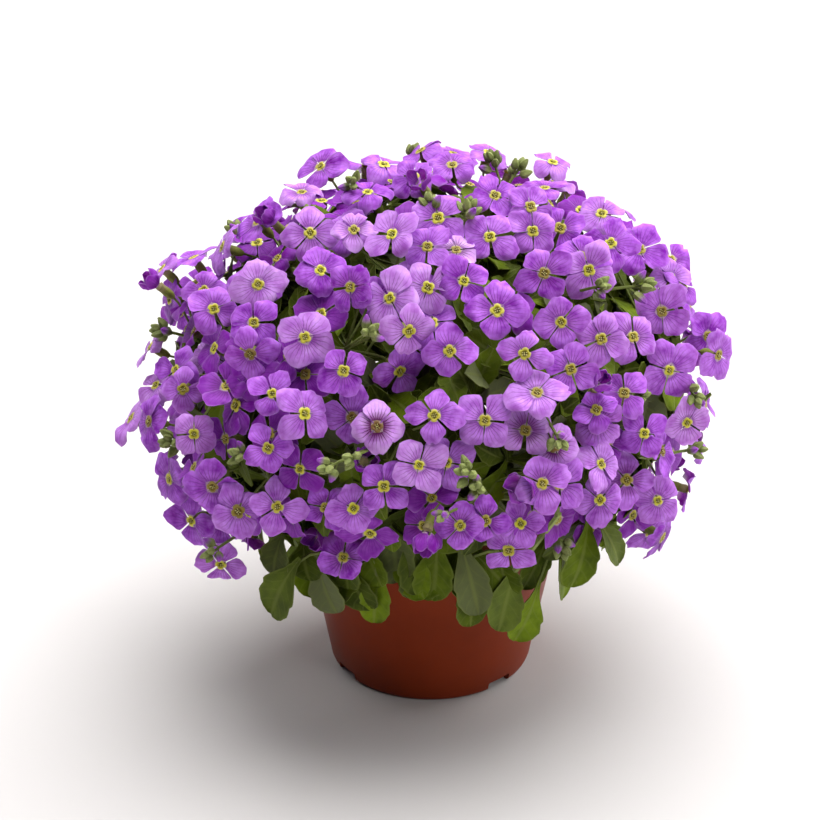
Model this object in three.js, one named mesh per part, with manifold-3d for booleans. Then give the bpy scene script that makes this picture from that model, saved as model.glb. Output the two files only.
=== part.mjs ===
// A potted aubrieta in full flower: a thin-walled plastic nursery pot, the compost that fills it,
// flowering sprays that fan out of the compost into one broad mound, and leafy shoots that hang
// over the pot's rim. Millimetres, +Z up. It is built round the pot's own axis, and moved at the end
// so that the origin lies on the surface under the middle of the whole plant.
import * as THREE from "three";
import { mergeVertices } from "three/addons/utils/BufferGeometryUtils.js";
import Module from "manifold-3d";

const wasm = await Module();
wasm.setup();

// Driving dimensions of the pot and its compost.
const RIM_DIAMETER = 110;
const FOOT_DIAMETER = 80;
const POT_HEIGHT = 80;
const WALL = 1.4;
const LIP_HEIGHT = 8;
const LIP_OVERHANG = 1.8;
const LIP_DRAFT = 0.5;
const FOOT_BEVEL = 1.5;
const FLOOR_RISE = 5;
const POT_SIDES = 32;
const NOTCH_DEGREES = [-48, 40, 130, 214];
const NOTCH_WIDTH = 11;
const NOTCH_HEIGHT = 3.8;
const DRAIN_RADIUS = 4;
const DRAIN_RING = 24;
const DRAIN_COUNT = 5;
const DRAIN_SIDES = 8;
const SOIL_LEVEL = 71;
const SOIL_DOME = 2.5;
const SOIL_SIDES = 16;
const SEAT_GAP = 0.35;

// Driving dimensions of the mound that the flowers form. Its slope angle runs from straight up at
// the crown, through level at its widest, to the lowest flowers. The skirt hangs lower at the
// left and right than at the front and back, and low lobes run round the sides.
const MOUND_RADIUS = 108;
const MOUND_MIDDLE_Z = 122;
const MOUND_RISE = 84;
const MOUND_DROP = 78;
const SKIRT = 26;
const LOWEST_DEGREES = 126;
const BROAD_LOBE = 0.035;
const NARROW_LOBE = 0.03;

// Driving dimensions of the stems. Each spray's stalk ends in a small core that its flowers and
// its leaf stand out of.
const SPRAY_COUNT = 34;
const SHOOT_COUNT = 12;
const ROOT_DEPTH = 8;
const CROWN_RADIUS = 36;
const STALK_RADIUS = 1.8;
const STALK_STEPS = 4;
const STALK_LEAN = 6;
const STALK_RISE = 34;
const STALK_RISE_OUTSIDE = 8;
const STALK_ARRIVAL = 46;
const STALK_SINK = 20;
const CORE_RADIUS = 16;
const CORE_DEPTH = 9.5;
const CLEARANCE = 0.35;

// Driving dimensions of the open flowers.
const BLOOM_SPREAD = 178;
const BLOOM_SIZE = 0.98;
const BLOOM_SIZE_CHANGE = 0.09;
const BLOOM_SINK = 4;
const BLOOM_WANDER = 4;
const BLOOM_LIFT = 0.3;
const BLOOM_TURN = 0.3;
const BLOOM_TRIES = 14;
const STEEPEST_FACE = 0.4;
const PETAL_LENGTH = 11.6;
const PETAL_HALF_DEGREES = 33;
const PETAL_THICKNESS = 0.7;
const PETAL_LIFT = 0.6;
const PETAL_LIFT_CHANGE = 1.1;
const PETAL_TWIST = 0.9;
const THROAT_RADIUS = 2.6;
const THROAT_RIM = 0.3;
const THROAT_DEPTH = 0.5;
const CALYX_RADIUS = 2.2;
const CALYX_DEPTH = 1.3;
const HEAD_DEPTH = 3;

// The flowers on the front of the plant, each where it stands on the real one: how far round the
// mound and how far down its slope, in degrees, how far out of the mound, in millimetres, the way
// it faces, in degrees round and degrees up, and how far its petals are turned, in degrees.
const FRONT_BLOOMS = [
  [132, 37, -1, -143, 51, 65], [161, 30, -4, -90, 87, 25], [178, 37, -4, -164, 51, 65],
  [-179, 46, -4, -172, 25, 41], [170, 58, -3, 153, 63, 4], [172, 64, 1, 177, 41, 62],
  [-153, 28, -4, -90, 46, 2], [-132, 34, -4, -81, 49, 16], [-149, 44, -4, -90, 40, 17],
  [-166, 54, -4, -107, 45, 79], [-157, 55, -4, -82, 40, 67], [-140, 51, -4, -90, 40, 47],
  [-123, 49, -4, -90, 35, 63], [-159, 74, -4, -136, 33, 51], [-178, 91, -4, -153, 48, 19],
  [-152, 75, -4, -96, 23, 78], [178, 100, 9, -176, 37, 34], [-170, 95, 1, -150, 22, 62],
  [-125, 63, -4, -90, 35, 67], [-117, 66, -4, -58, 31, 63], [-123, 76, -4, -90, 32, 20],
  [-157, 103, -2, -145, 11, 89], [-135, 92, -4, -96, 5, 87], [-129, 97, -4, -96, 23, 20],
  [-121, 93, -4, -83, 29, 82], [-153, 114, -3, -127, 5, 58], [-114, 98, -4, -90, 11, 25],
  [124, 18, -4, -29, 77, 60], [95, 28, -2, 169, 59, 49], [78, 21, -4, -90, 77, 49],
  [67, 31, -2, -27, 70, 53], [-173, 13, -4, -90, 82, 18], [-136, 22, -4, -90, 59, 1],
  [-154, 21, -4, -101, 58, 61], [-15, 13, -4, -79, 58, 25], [-86, 14, -4, -98, 46, 50],
  [-93, 23, -4, -90, 46, 39], [-78, 23, -4, -76, 65, 52], [-59, 22, -4, -90, 46, 51],
  [-35, 25, -4, -82, 40, 55], [-79, 33, -4, -90, 40, 25], [-104, 37, -4, -111, 33, 65],
  [-91, 40, -4, -90, 40, 54], [-99, 43, -4, -90, 35, 86], [-71, 41, -4, -90, 43, 89],
  [-86, 50, -4, -90, 32, 3], [-111, 55, -4, -90, 35, 33], [-68, 52, -4, -90, 35, 80],
  [48, 39, 1, -29, 77, 36], [7, 36, -4, -90, 66, 27], [-11, 39, -4, -90, 46, 80],
  [-1, 46, -4, -90, 46, 64], [9, 58, -3, -58, 56, 60], [-49, 35, -4, -90, 35, 27],
  [-31, 40, -4, -83, 34, 62], [-19, 58, -4, -78, 22, 58], [-54, 47, -4, -90, 35, 7],
  [-44, 55, -4, -90, 35, 66], [1, 78, -4, -58, 19, 64], [-57, 58, -4, -90, 29, 66],
  [-27, 71, -4, -72, 16, 44], [-1, 60, -4, -40, 38, 70], [-102, 68, -4, -90, 35, 8],
  [-90, 65, -4, -90, 40, 87], [-79, 66, -4, -90, 40, 44], [-93, 77, -4, -90, 29, 28],
  [-106, 90, -4, -90, 29, 14], [-111, 121, -4, -90, 23, 32], [-85, 94, -4, -90, 23, 85],
  [-73, 96, -4, -90, 35, 11], [-67, 61, -4, -90, 59, 19], [-70, 70, -4, -90, 35, 25],
  [-65, 75, -4, -90, 40, 68], [-64, 86, -4, -90, 32, 46], [-53, 70, -4, -90, 46, 19],
  [-43, 70, -4, -90, 46, 38], [-53, 74, -4, -90, 17, 42], [-39, 83, -4, -77, 28, 43],
  [-1, 96, -4, -13, 13, 48], [-33, 90, -4, -20, 17, 22], [-42, 97, -4, -83, 29, 7],
  [-33, 106, -4, -70, 27, 72], [-18, 126, -4, -72, 10, 62], [-52, 98, -4, -78, 17, 11],
  [-158, 45, -4, -115, 44, 6], [174, 70, -3, -151, 15, 28], [160, 83, -4, -114, 15, 11],
  [-135, 57, -4, -96, 11, 12], [-160, 69, -4, -118, 32, 5], [-142, 81, -4, -90, 17, 46],
  [178, 106, -4, -109, 22, 78], [-152, 120, 0, -121, -13, 13], [-152, 128, -2, -90, -8, 83],
  [-107, 22, -4, -109, 51, 33], [-18, 21, -4, -65, 44, 69], [-101, 29, -4, -90, 52, 81],
  [-110, 31, -4, -109, 51, 22], [-92, 34, -4, -90, 35, 25], [-98, 51, -4, -90, -1, 17],
  [140, 5, -4, -90, 46, 33], [-114, 37, -4, -90, 11, 25], [16, 24, -4, 90, 87, 12],
  [-15, 28, -4, -68, 58, 10], [-2, 56, -4, -65, 44, 23], [-26, 36, -4, -79, 58, 80],
  [-5, 80, -2, -45, 9, 60], [-33, 59, -4, -67, 39, 63], [-109, 66, -4, -96, 23, 82],
  [-100, 83, -4, -84, 17, 51], [-73, 117, -4, -90, 5, 47], [-87, 78, -4, -90, 11, 29],
  [-80, 93, -4, -84, 17, 85], [-70, 83, -4, -83, 29, 27], [-28, 85, -4, -73, 4, 15],
  [-53, 85, -4, -44, 33, 89],
];
// The front's own direction, and the most that a front flower's search for room moves it in and
// out of the mound, sideways in millimetres, turns its face and turns its petals in degrees.
const FRONT = new THREE.Vector3(0, -0.88, 0.48);
const FRONT_TRIES = 60;
const FRONT_STEPS = [0, -1.5, 1.5, -3, 3, -4.5, -6, -8, -10, -12];
const FRONT_WANDER = { step: 0.12, most: 3 };
const FRONT_TURN = { step: 0.03, most: 0.5 };
const FRONT_SPIN = { step: 2, most: 25 };
// A flower's own stalk starts in the core of one of the nearest sprays, or so far back down the
// spray's stalk.
const NEAREST_SPRAYS = 2;
const ROOTS_BACK = [0, 14, 26];

// Driving dimensions of the leaves. A leaf's outline runs from its stem to its tip: how far along,
// and the half width there, with a blunt tooth on each side before the tip.
const LEAF_LENGTH = 27;
const LEAF_WIDTH = 12;
const LEAF_THICKNESS = 0.8;
const LEAF_STEM_WIDTH = 1.4;
const LEAF_TRIES = 9;
const LEAF_OUTLINE = [[0, 0.1], [0.45, 0.66], [0.66, 1], [0.72, 0.72], [1, 0]];
// A shoot's leaves: how far back from its tip, how far round to the side in radians, and how
// steeply each hangs.
const SHOOT_LEAVES = [
  { back: 0.6, fan: 0, drop: 2.2 },
  { back: 6, fan: 1, drop: 0.9 },
  { back: 11, fan: -1, drop: 0.8 },
];

const DEGREE = Math.PI / 180;
const GOLDEN_ANGLE = Math.PI * (3 - Math.sqrt(5));
const UP = new THREE.Vector3(0, 0, 1);

// A seeded draw from 0 to 1: the same index and channel always give the same number. The index
// tells one flower, leaf or stem from the next, and the channel one of its draws from another.
function draw(index, channel) {
  const wave = Math.sin(index * 12.9898 + channel * 78.233 + 0.5) * 43758.5453;
  return wave - Math.floor(wave);
}

// The same draw, from -1 to 1.
function sway(index, channel) {
  return 2 * draw(index, channel) - 1;
}

function swayed(index, channel) {
  return new THREE.Vector3(sway(index, channel), sway(index, channel + 1), sway(index, channel + 2));
}

// Joining, cutting and testing closed meshes.

function toSolid(geometry) {
  const bare = geometry.index ? geometry.toNonIndexed() : geometry.clone();
  for (const name of Object.keys(bare.attributes)) {
    if (name !== "position") bare.deleteAttribute(name);
  }
  const merged = mergeVertices(bare, 1e-4);
  return new wasm.Manifold(new wasm.Mesh({
    numProp: 3,
    vertProperties: merged.attributes.position.array,
    triVerts: new Uint32Array(merged.index.array),
  }));
}

function toGeometry(solid) {
  const mesh = solid.getMesh();
  const places = new Float32Array(mesh.numVert * 3);
  for (let i = 0; i < mesh.numVert; i++) {
    places.set(mesh.vertProperties.subarray(i * mesh.numProp, i * mesh.numProp + 3), i * 3);
  }
  const geometry = new THREE.BufferGeometry();
  geometry.setAttribute("position", new THREE.BufferAttribute(places, 3));
  geometry.setIndex(new THREE.BufferAttribute(mesh.triVerts, 1));
  return geometry.toNonIndexed();
}

// A closed mesh from a list of points and a list of triangles.
function closedMesh(points, faces) {
  const geometry = new THREE.BufferGeometry().setFromPoints(points);
  geometry.setIndex(faces.flat());
  return geometry;
}

// A closed tube through rings of equal count, each ring counter-clockwise seen from its far end.
function loft(rings) {
  const count = rings[0].length;
  const faces = [];
  for (let r = 0; r + 1 < rings.length; r++) {
    for (let i = 0; i < count; i++) {
      const a = r * count + i;
      const b = r * count + (i + 1) % count;
      faces.push([a, b, b + count], [a, b + count, a + count]);
    }
  }
  const last = (rings.length - 1) * count;
  for (let i = 1; i + 1 < count; i++) {
    faces.push([0, i + 1, i], [last, last + i, last + i + 1]);
  }
  return closedMesh(rings.flat(), faces);
}

// A three-sided ring round a point of a stem, square to the way it runs.
function stemRing(place, along, radius) {
  const across = new THREE.Vector3(0, 1, 0).cross(along);
  if (across.lengthSq() < 1e-6) across.set(1, 0, 0);
  across.normalize();
  const over = along.clone().cross(across).normalize();
  return [0, 1, 2].map((i) => {
    const turn = i * 2 * Math.PI / 3;
    return place.clone()
      .addScaledVector(across, radius * Math.cos(turn))
      .addScaledVector(over, radius * Math.sin(turn));
  });
}

// The points of a stem's middle line, and the closed tube round them.
function stemLine(curve, steps) {
  return Array.from({ length: steps + 1 }, (_, i) => curve.getPoint(i / steps));
}

function stemTube(line, radius) {
  return loft(line.map((place, i) => {
    const before = line[Math.max(i - 1, 0)];
    const after = line[Math.min(i + 1, line.length - 1)];
    return stemRing(place, after.clone().sub(before).normalize(), radius);
  }));
}

// The point of a stem's middle line that lies a given length back from its tip.
function backFromTip(line, length) {
  let left = length;
  for (let i = line.length - 1; i > 0; i--) {
    const step = line[i].distanceTo(line[i - 1]);
    if (left <= step) return line[i].clone().lerp(line[i - 1], left / step);
    left -= step;
  }
  return line[0].clone();
}

// The mound: a surface of revolution, flattened above its middle and drawn in below it. Places are
// spread over it evenly by area, each a golden angle on from the last.

function moundProfile(slope) {
  const height = Math.cos(slope) > 0 ? MOUND_RISE : MOUND_DROP;
  return [MOUND_RADIUS * Math.sin(slope), MOUND_MIDDLE_Z + height * Math.cos(slope)];
}

const PROFILE_STEPS = 400;
const AREA_TO_STEP = [0];
for (let i = 1; i <= PROFILE_STEPS; i++) {
  const [r0, z0] = moundProfile((i - 1) / PROFILE_STEPS * LOWEST_DEGREES * DEGREE);
  const [r1, z1] = moundProfile(i / PROFILE_STEPS * LOWEST_DEGREES * DEGREE);
  AREA_TO_STEP.push(AREA_TO_STEP[i - 1] + (r0 + r1) / 2 * Math.hypot(r1 - r0, z1 - z0));
}

// The slope angle at which a share of the mound's area lies above.
function slopeAt(share) {
  const wanted = share * AREA_TO_STEP[PROFILE_STEPS];
  let step = 1;
  while (AREA_TO_STEP[step] < wanted) step++;
  const part = (wanted - AREA_TO_STEP[step - 1]) / (AREA_TO_STEP[step] - AREA_TO_STEP[step - 1]);
  return (step - 1 + part) / PROFILE_STEPS * LOWEST_DEGREES * DEGREE;
}

function lobes(turn, slope) {
  const low = Math.sin(slope);
  const broad = BROAD_LOBE * Math.sin(2 * turn + 0.4);
  const narrow = NARROW_LOBE * Math.sin(6 * turn + 2 * slope);
  return 1 + low * (broad + narrow);
}

// A place on the mound, and the way straight out of it.
function onMound(turn, slope) {
  const [radius, height] = moundProfile(slope);
  const wide = radius * lobes(turn, slope);
  const sag = SKIRT * Math.max(-Math.cos(slope), 0) * Math.cos(2 * turn);
  const place = new THREE.Vector3(wide * Math.cos(turn), wide * Math.sin(turn), height - sag);
  const rise = Math.cos(slope) > 0 ? MOUND_RISE : MOUND_DROP;
  const out = new THREE.Vector3(
    Math.sin(slope) / MOUND_RADIUS * Math.cos(turn),
    Math.sin(slope) / MOUND_RADIUS * Math.sin(turn),
    Math.cos(slope) / rise,
  ).normalize();
  return { place, out, turn, slope };
}

function spread(count, index) {
  return onMound(index * GOLDEN_ANGLE, slopeAt((index + 0.5) / count));
}

// The way that a flower at a place faces: out of the mound, lifted to the light, and a little to
// one side of that.
function facing(site, index, channel) {
  return site.out.clone()
    .multiplyScalar(1 - BLOOM_LIFT)
    .addScaledVector(UP, BLOOM_LIFT)
    .normalize()
    .addScaledVector(swayed(index, channel), BLOOM_TURN)
    .normalize();
}

// The way that lies so many degrees round and so many degrees up.
function wayAt(round, up) {
  const level = Math.cos(up * DEGREE);
  return new THREE.Vector3(
    level * Math.cos(round * DEGREE),
    level * Math.sin(round * DEGREE),
    Math.sin(up * DEGREE),
  );
}

// One open flower: four broad petals in a cross round a shallow throat, over a calyx that narrows
// into the flower's own stalk and ends at the root, inside what carries it.
function bloomMesh(face, spin, size, place, root, index) {
  const turned = new THREE.Quaternion().setFromUnitVectors(UP, face);
  const at = (degrees, radius, height) => new THREE.Vector3(
    radius * Math.cos(degrees * DEGREE),
    radius * Math.sin(degrees * DEGREE),
    height,
  ).multiplyScalar(size).applyQuaternion(turned).add(place);
  const points = [at(0, 0, -THROAT_DEPTH), root];
  const faces = [];
  for (let petal = 0; petal < 4; petal++) {
    const middle = spin + 90 * petal;
    const [from, to] = [middle - PETAL_HALF_DEGREES, middle + PETAL_HALF_DEGREES];
    const lift = PETAL_LIFT + PETAL_LIFT_CHANGE * sway(index, 20 + petal);
    const twist = PETAL_TWIST * sway(index, 30 + petal);
    points.push(
      at(middle - 45, THROAT_RADIUS, THROAT_RIM),
      at(from, PETAL_LENGTH, lift - twist),
      at(to, PETAL_LENGTH, lift + twist),
      at(middle - 45, CALYX_RADIUS, -CALYX_DEPTH),
      at(from, PETAL_LENGTH, lift - twist - PETAL_THICKNESS),
      at(to, PETAL_LENGTH, lift + twist - PETAL_THICKNESS),
    );
    const first = 2 + 6 * petal;
    const [notch, left, right, under, lowLeft, lowRight] = [0, 1, 2, 3, 4, 5].map((i) => first + i);
    const nextNotch = 2 + 6 * ((petal + 1) % 4);
    const nextUnder = nextNotch + 3;
    faces.push(
      [0, notch, left], [0, left, right], [0, right, nextNotch],
      [notch, under, lowLeft], [notch, lowLeft, left],
      [left, lowLeft, lowRight], [left, lowRight, right],
      [right, lowRight, nextUnder], [right, nextUnder, nextNotch],
      [under, lowRight, lowLeft], [under, nextUnder, lowRight],
      [under, 1, nextUnder],
    );
  }
  return closedMesh(points, faces);
}

// One leaf: a thin blade, broad past its middle, with a tooth on each side and an arch along it.
function leafMesh(place, along, up, length, width, arch) {
  const side = up.clone().cross(along).normalize();
  const over = along.clone().cross(side).normalize();
  const points = [];
  const rows = LEAF_OUTLINE.map(([share, half]) => {
    const middle = place.clone()
      .addScaledVector(along, share * length)
      .addScaledVector(over, -arch * share * share * length);
    const reach = half ? Math.max(half * width / 2, LEAF_STEM_WIDTH / 2) : 0;
    const edges = half ? [reach, -reach] : [0];
    return edges.map((shift) => {
      const top = middle.clone().addScaledVector(side, shift);
      points.push(top, top.clone().addScaledVector(over, -LEAF_THICKNESS));
      return points.length - 2;
    });
  });
  const faces = [];
  const strip = (a, b, c, d) => faces.push([a, b, d], [b, c, d]);
  for (let r = 0; r + 1 < rows.length; r++) {
    const [left, right] = rows[r];
    const [nextLeft, nextRight = nextLeft] = rows[r + 1];
    if (nextLeft === nextRight) {
      faces.push([left, right, nextLeft], [left + 1, nextLeft + 1, right + 1]);
    } else {
      strip(left, right, nextRight, nextLeft);
      strip(left + 1, nextLeft + 1, nextRight + 1, right + 1);
    }
    strip(right, right + 1, nextRight + 1, nextRight);
    strip(left + 1, left, nextLeft, nextLeft + 1);
  }
  const [left, right] = rows[0];
  strip(left, left + 1, right + 1, right);
  return closedMesh(points, faces);
}

// The pot: a tapered wall with a lip, a raised floor, four notches in its foot and drain holes.

function potSolid() {
  const rim = RIM_DIAMETER / 2;
  const foot = FOOT_DIAMETER / 2;
  const shoulder = rim - LIP_OVERHANG;
  const lipFoot = POT_HEIGHT - LIP_HEIGHT;
  const outline = [
    [0, FLOOR_RISE],
    [foot - 2 * WALL, FLOOR_RISE],
    [foot - 2 * WALL, 0],
    [foot - FOOT_BEVEL, 0],
    [foot, FOOT_BEVEL],
    [shoulder - LIP_DRAFT, lipFoot],
    [rim - LIP_DRAFT, lipFoot],
    [rim, POT_HEIGHT],
    [shoulder - WALL, POT_HEIGHT],
    [foot - WALL, FLOOR_RISE + WALL],
    [0, FLOOR_RISE + WALL],
  ].map(([radius, height]) => new THREE.Vector2(radius, height));
  let solid = toSolid(new THREE.LatheGeometry(outline, POT_SIDES).rotateX(Math.PI / 2));
  for (const degrees of NOTCH_DEGREES) {
    const notch = new THREE.BoxGeometry(5 * WALL, NOTCH_WIDTH, 2 * NOTCH_HEIGHT)
      .translate(foot - WALL, 0, 0)
      .rotateZ(degrees * DEGREE);
    solid = solid.subtract(toSolid(notch));
  }
  for (let i = 0; i < DRAIN_COUNT; i++) {
    const hole = new THREE.CylinderGeometry(DRAIN_RADIUS, DRAIN_RADIUS, 4 * WALL, DRAIN_SIDES)
      .rotateX(Math.PI / 2)
      .translate(DRAIN_RING, 0, FLOOR_RISE + WALL / 2)
      .rotateZ(i * 2 * Math.PI / DRAIN_COUNT);
    solid = solid.subtract(toSolid(hole));
  }
  return solid;
}

// The compost: a plug that fills the pot to below its lip, crowned in the middle, with a plain
// hole for each stalk that stands in it.

function insideRadius(height) {
  const floor = FLOOR_RISE + WALL;
  const widening = RIM_DIAMETER / 2 - LIP_OVERHANG - FOOT_DIAMETER / 2;
  const share = (height - floor) / (POT_HEIGHT - floor);
  return FOOT_DIAMETER / 2 - WALL + widening * share - SEAT_GAP;
}

function soilHeight(radius) {
  const share = radius / insideRadius(SOIL_LEVEL);
  return SOIL_LEVEL + SOIL_DOME * (1 - share * share);
}

function soilSolid(stemLines) {
  const bottom = FLOOR_RISE + WALL + SEAT_GAP;
  const edge = insideRadius(SOIL_LEVEL);
  const outline = [
    [0, bottom],
    [insideRadius(bottom), bottom],
    [edge, SOIL_LEVEL],
    [edge / 2, soilHeight(edge / 2)],
    [0, soilHeight(0)],
  ].map(([radius, height]) => new THREE.Vector2(radius, height));
  let solid = toSolid(new THREE.LatheGeometry(outline, SOIL_SIDES).rotateX(Math.PI / 2));
  for (const [foot, above] of stemLines) {
    const along = above.clone().sub(foot).normalize();
    const base = foot.clone().addScaledVector(along, -SEAT_GAP);
    const wide = STALK_RADIUS + 2.2 * SEAT_GAP;
    solid = solid.subtract(toSolid(stemTube([base, above], wide)));
  }
  return solid;
}

function numbered(kind, index) {
  return kind + "_" + String(index + 1).padStart(2, "0");
}

function footAt(turn, radius) {
  const height = soilHeight(radius) - ROOT_DEPTH;
  return new THREE.Vector3(radius * Math.cos(turn), radius * Math.sin(turn), height);
}

// Growth that is already in place, which whatever grows later stays clear of. The head of a piece
// is what stays clear of its own spray too, such as a flower without its stalk.
const grown = [];

function near(box, other) {
  return [0, 1, 2].every((i) => {
    return box.min[i] - CLEARANCE < other.max[i] && other.min[i] - CLEARANCE < box.max[i];
  });
}

function apart(solid, other) {
  return solid.minGap(other, CLEARANCE) >= CLEARANCE;
}

function isClear(solid, head, owner) {
  const box = solid.boundingBox();
  return grown.every((piece) => {
    if (!near(box, piece.box)) return true;
    if (piece.owner !== owner) return apart(solid, piece.solid);
    return apart(head, piece.solid) && (!piece.head || apart(solid, piece.head));
  });
}

function keep(solid, head, owner) {
  grown.push({ solid, head, owner, box: solid.boundingBox() });
}

// One body from pieces that run into each other. A hollow that the joining seals is filled.
function fuse(parts) {
  const bodies = wasm.Manifold.union(parts).decompose();
  const [body, ...rest] = bodies.sort((a, b) => b.volume() - a.volume());
  if (rest.some((scrap) => scrap.volume() > 1)) throw new Error("a piece isn't joined");
  return body;
}

// The stalk of each spray stands in the compost, the lowest sprays nearest the wall, and bends
// out through the mound to end in a core under its flowers.
const sprays = Array.from({ length: SPRAY_COUNT }, (_, index) => {
  const site = spread(SPRAY_COUNT, index);
  const foot = footAt(site.turn, CROWN_RADIUS * Math.sqrt((index + 0.5) / SPRAY_COUNT));
  const leave = foot.clone().add(new THREE.Vector3(
    STALK_LEAN * Math.cos(site.turn),
    STALK_LEAN * Math.sin(site.turn),
    STALK_RISE + STALK_RISE_OUTSIDE * Math.sin(site.slope),
  ));
  const arrive = site.place.clone().addScaledVector(site.out, -STALK_ARRIVAL);
  const tip = site.place.clone().addScaledVector(site.out, -STALK_SINK);
  const line = stemLine(new THREE.CubicBezierCurve3(foot, leave, arrive, tip), STALK_STEPS);
  const turned = new THREE.Quaternion().setFromUnitVectors(UP, site.out);
  const core = new THREE.OctahedronGeometry(CORE_RADIUS)
    .scale(1, 1, CORE_DEPTH / CORE_RADIUS)
    .applyQuaternion(turned)
    .translate(tip.x, tip.y, tip.z);
  const stalk = toSolid(stemTube(line, STALK_RADIUS)).add(toSolid(core));
  return { name: numbered("spray", index), site, line, tip, turned, parts: [stalk] };
});

// Leafy shoots stand round the edge of the compost, lean out over the rim and hang their leaves
// down outside it.
const shoots = Array.from({ length: SHOOT_COUNT }, (_, index) => {
  const turn = (index + 0.5 + 0.15 * sway(index, 3)) * 2 * Math.PI / SHOOT_COUNT;
  const outward = new THREE.Vector3(Math.cos(turn), Math.sin(turn), 0);
  const point = (reach, height) => outward.clone().multiplyScalar(reach).setZ(height);
  const rim = RIM_DIAMETER / 2;
  const line = stemLine(new THREE.CubicBezierCurve3(
    footAt(turn, CROWN_RADIUS + 5),
    point(rim - 10, POT_HEIGHT + 12),
    point(rim + 2, POT_HEIGHT + 14),
    point(rim + 10, POT_HEIGHT - 1),
  ), STALK_STEPS);
  const stalk = toSolid(stemTube(line, STALK_RADIUS));
  return { name: numbered("shoot", index), outward, line, parts: [stalk] };
});

const pot = potSolid();
const compost = soilSolid([...sprays, ...shoots].map((stem) => stem.line));
keep(pot, null, "pot");
keep(compost, null, "compost");
[...sprays, ...shoots].forEach((stem) => keep(stem.parts[0], null, stem.name));

// A leaf from a place on a stem. It is tried with its blade turned further each time until it
// hangs clear of everything in place, and left out where it never does.
function growLeaf(stem, index, place, wayOf) {
  for (let attempt = 0; attempt < LEAF_TRIES; attempt++) {
    const { along, up } = wayOf(attempt);
    const size = 1 + 0.15 * sway(index, 4) - 0.02 * attempt;
    const length = LEAF_LENGTH * size;
    const width = LEAF_WIDTH * size;
    const arch = 0.2 + 0.15 * draw(index, 6);
    const solid = toSolid(leafMesh(place, along, up, length, width, arch));
    const outer = place.clone().addScaledVector(along, 0.5 * length);
    const head = toSolid(leafMesh(outer, along, up, 0.5 * length, width, arch));
    if (!isClear(solid, head, stem.name)) continue;
    stem.parts.push(solid);
    keep(solid, head, stem.name);
    return;
  }
}

shoots.forEach((shoot, order) => {
  const sideways = UP.clone().cross(shoot.outward);
  const hand = order % 2 ? 1 : -1;
  SHOOT_LEAVES.forEach(({ back, fan, drop }, i) => {
    const index = 300 + SHOOT_LEAVES.length * order + i;
    growLeaf(shoot, index, backFromTip(shoot.line, back), (attempt) => {
      const turn = hand * fan + 0.25 * sway(index, 1) + 0.12 * attempt * (attempt % 2 ? 1 : -1);
      const fall = drop * (1 + 0.3 * sway(index, 2)) - 0.06 * attempt;
      const along = shoot.outward.clone()
        .multiplyScalar(Math.cos(turn))
        .addScaledVector(sideways, Math.sin(turn))
        .addScaledVector(UP, -fall)
        .normalize();
      return { along, up: UP.clone().addScaledVector(shoot.outward, 0.8) };
    });
  });
});

// Grows one open flower on one of the sprays that come out nearest to it, from the spray's core or
// from lower down its stalk. One that would cross a neighbour is tried again, each time a little
// deeper and turned another way.
function growBloom(site, index, tries, wayOf) {
  const reach = (spray) => spray.site.place.distanceTo(site.place);
  const nearest = [...sprays].sort((a, b) => reach(a) - reach(b)).slice(0, NEAREST_SPRAYS);
  const roots = nearest.flatMap((spray) => ROOTS_BACK.map((back) => {
    return { spray, root: backFromTip(spray.line, back) };
  }));
  const size = BLOOM_SIZE + BLOOM_SIZE_CHANGE * sway(index, 5);
  for (let attempt = 0; attempt < tries; attempt++) {
    const { place, face, spin } = wayOf(attempt);
    for (const { spray, root } of roots) {
      if (face.dot(place.clone().sub(root).normalize()) < STEEPEST_FACE) continue;
      const solid = toSolid(bloomMesh(face, spin, size, place, root, index));
      const under = place.clone().addScaledVector(face, -HEAD_DEPTH);
      const head = toSolid(bloomMesh(face, spin, size, place, under, index));
      if (!isClear(solid, head, spray.name)) continue;
      spray.parts.push(solid);
      keep(solid, head, spray.name);
      return;
    }
  }
}

function grownBy(change, attempt) {
  return Math.min(change.step * attempt, change.most);
}

FRONT_BLOOMS.forEach(([turn, slope, proud, round, up, spin], index) => {
  const site = onMound(turn * DEGREE, slope * DEGREE);
  growBloom(site, index, FRONT_TRIES, (attempt) => ({
    place: site.place.clone()
      .addScaledVector(site.out, proud + FRONT_STEPS[attempt % FRONT_STEPS.length])
      .addScaledVector(swayed(index, 200 + 3 * attempt), grownBy(FRONT_WANDER, attempt)),
    face: wayAt(round, up)
      .addScaledVector(swayed(index, 50 + 3 * attempt), grownBy(FRONT_TURN, attempt))
      .normalize(),
    spin: spin + grownBy(FRONT_SPIN, attempt) * sway(index, 120 + attempt),
  }));
});

// The flowers of the sides and the back are spread evenly over the rest of the mound.
for (let order = 0; order < BLOOM_SPREAD; order++) {
  const site = spread(BLOOM_SPREAD, order);
  if (site.out.dot(FRONT) > 0) continue;
  const index = FRONT_BLOOMS.length + order;
  growBloom(site, index, BLOOM_TRIES, (attempt) => {
    const channel = 50 + 7 * attempt;
    const depth = BLOOM_SINK * (1 + sway(index, channel + 3)) + attempt;
    const aside = new THREE.Vector3(sway(index, channel + 4), sway(index, channel + 5), 0);
    return {
      place: site.place.clone()
        .addScaledVector(site.out, -depth)
        .addScaledVector(aside, BLOOM_WANDER),
      face: facing(site, index, channel),
      spin: 90 * draw(index, channel + 6),
    };
  });
}

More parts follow.
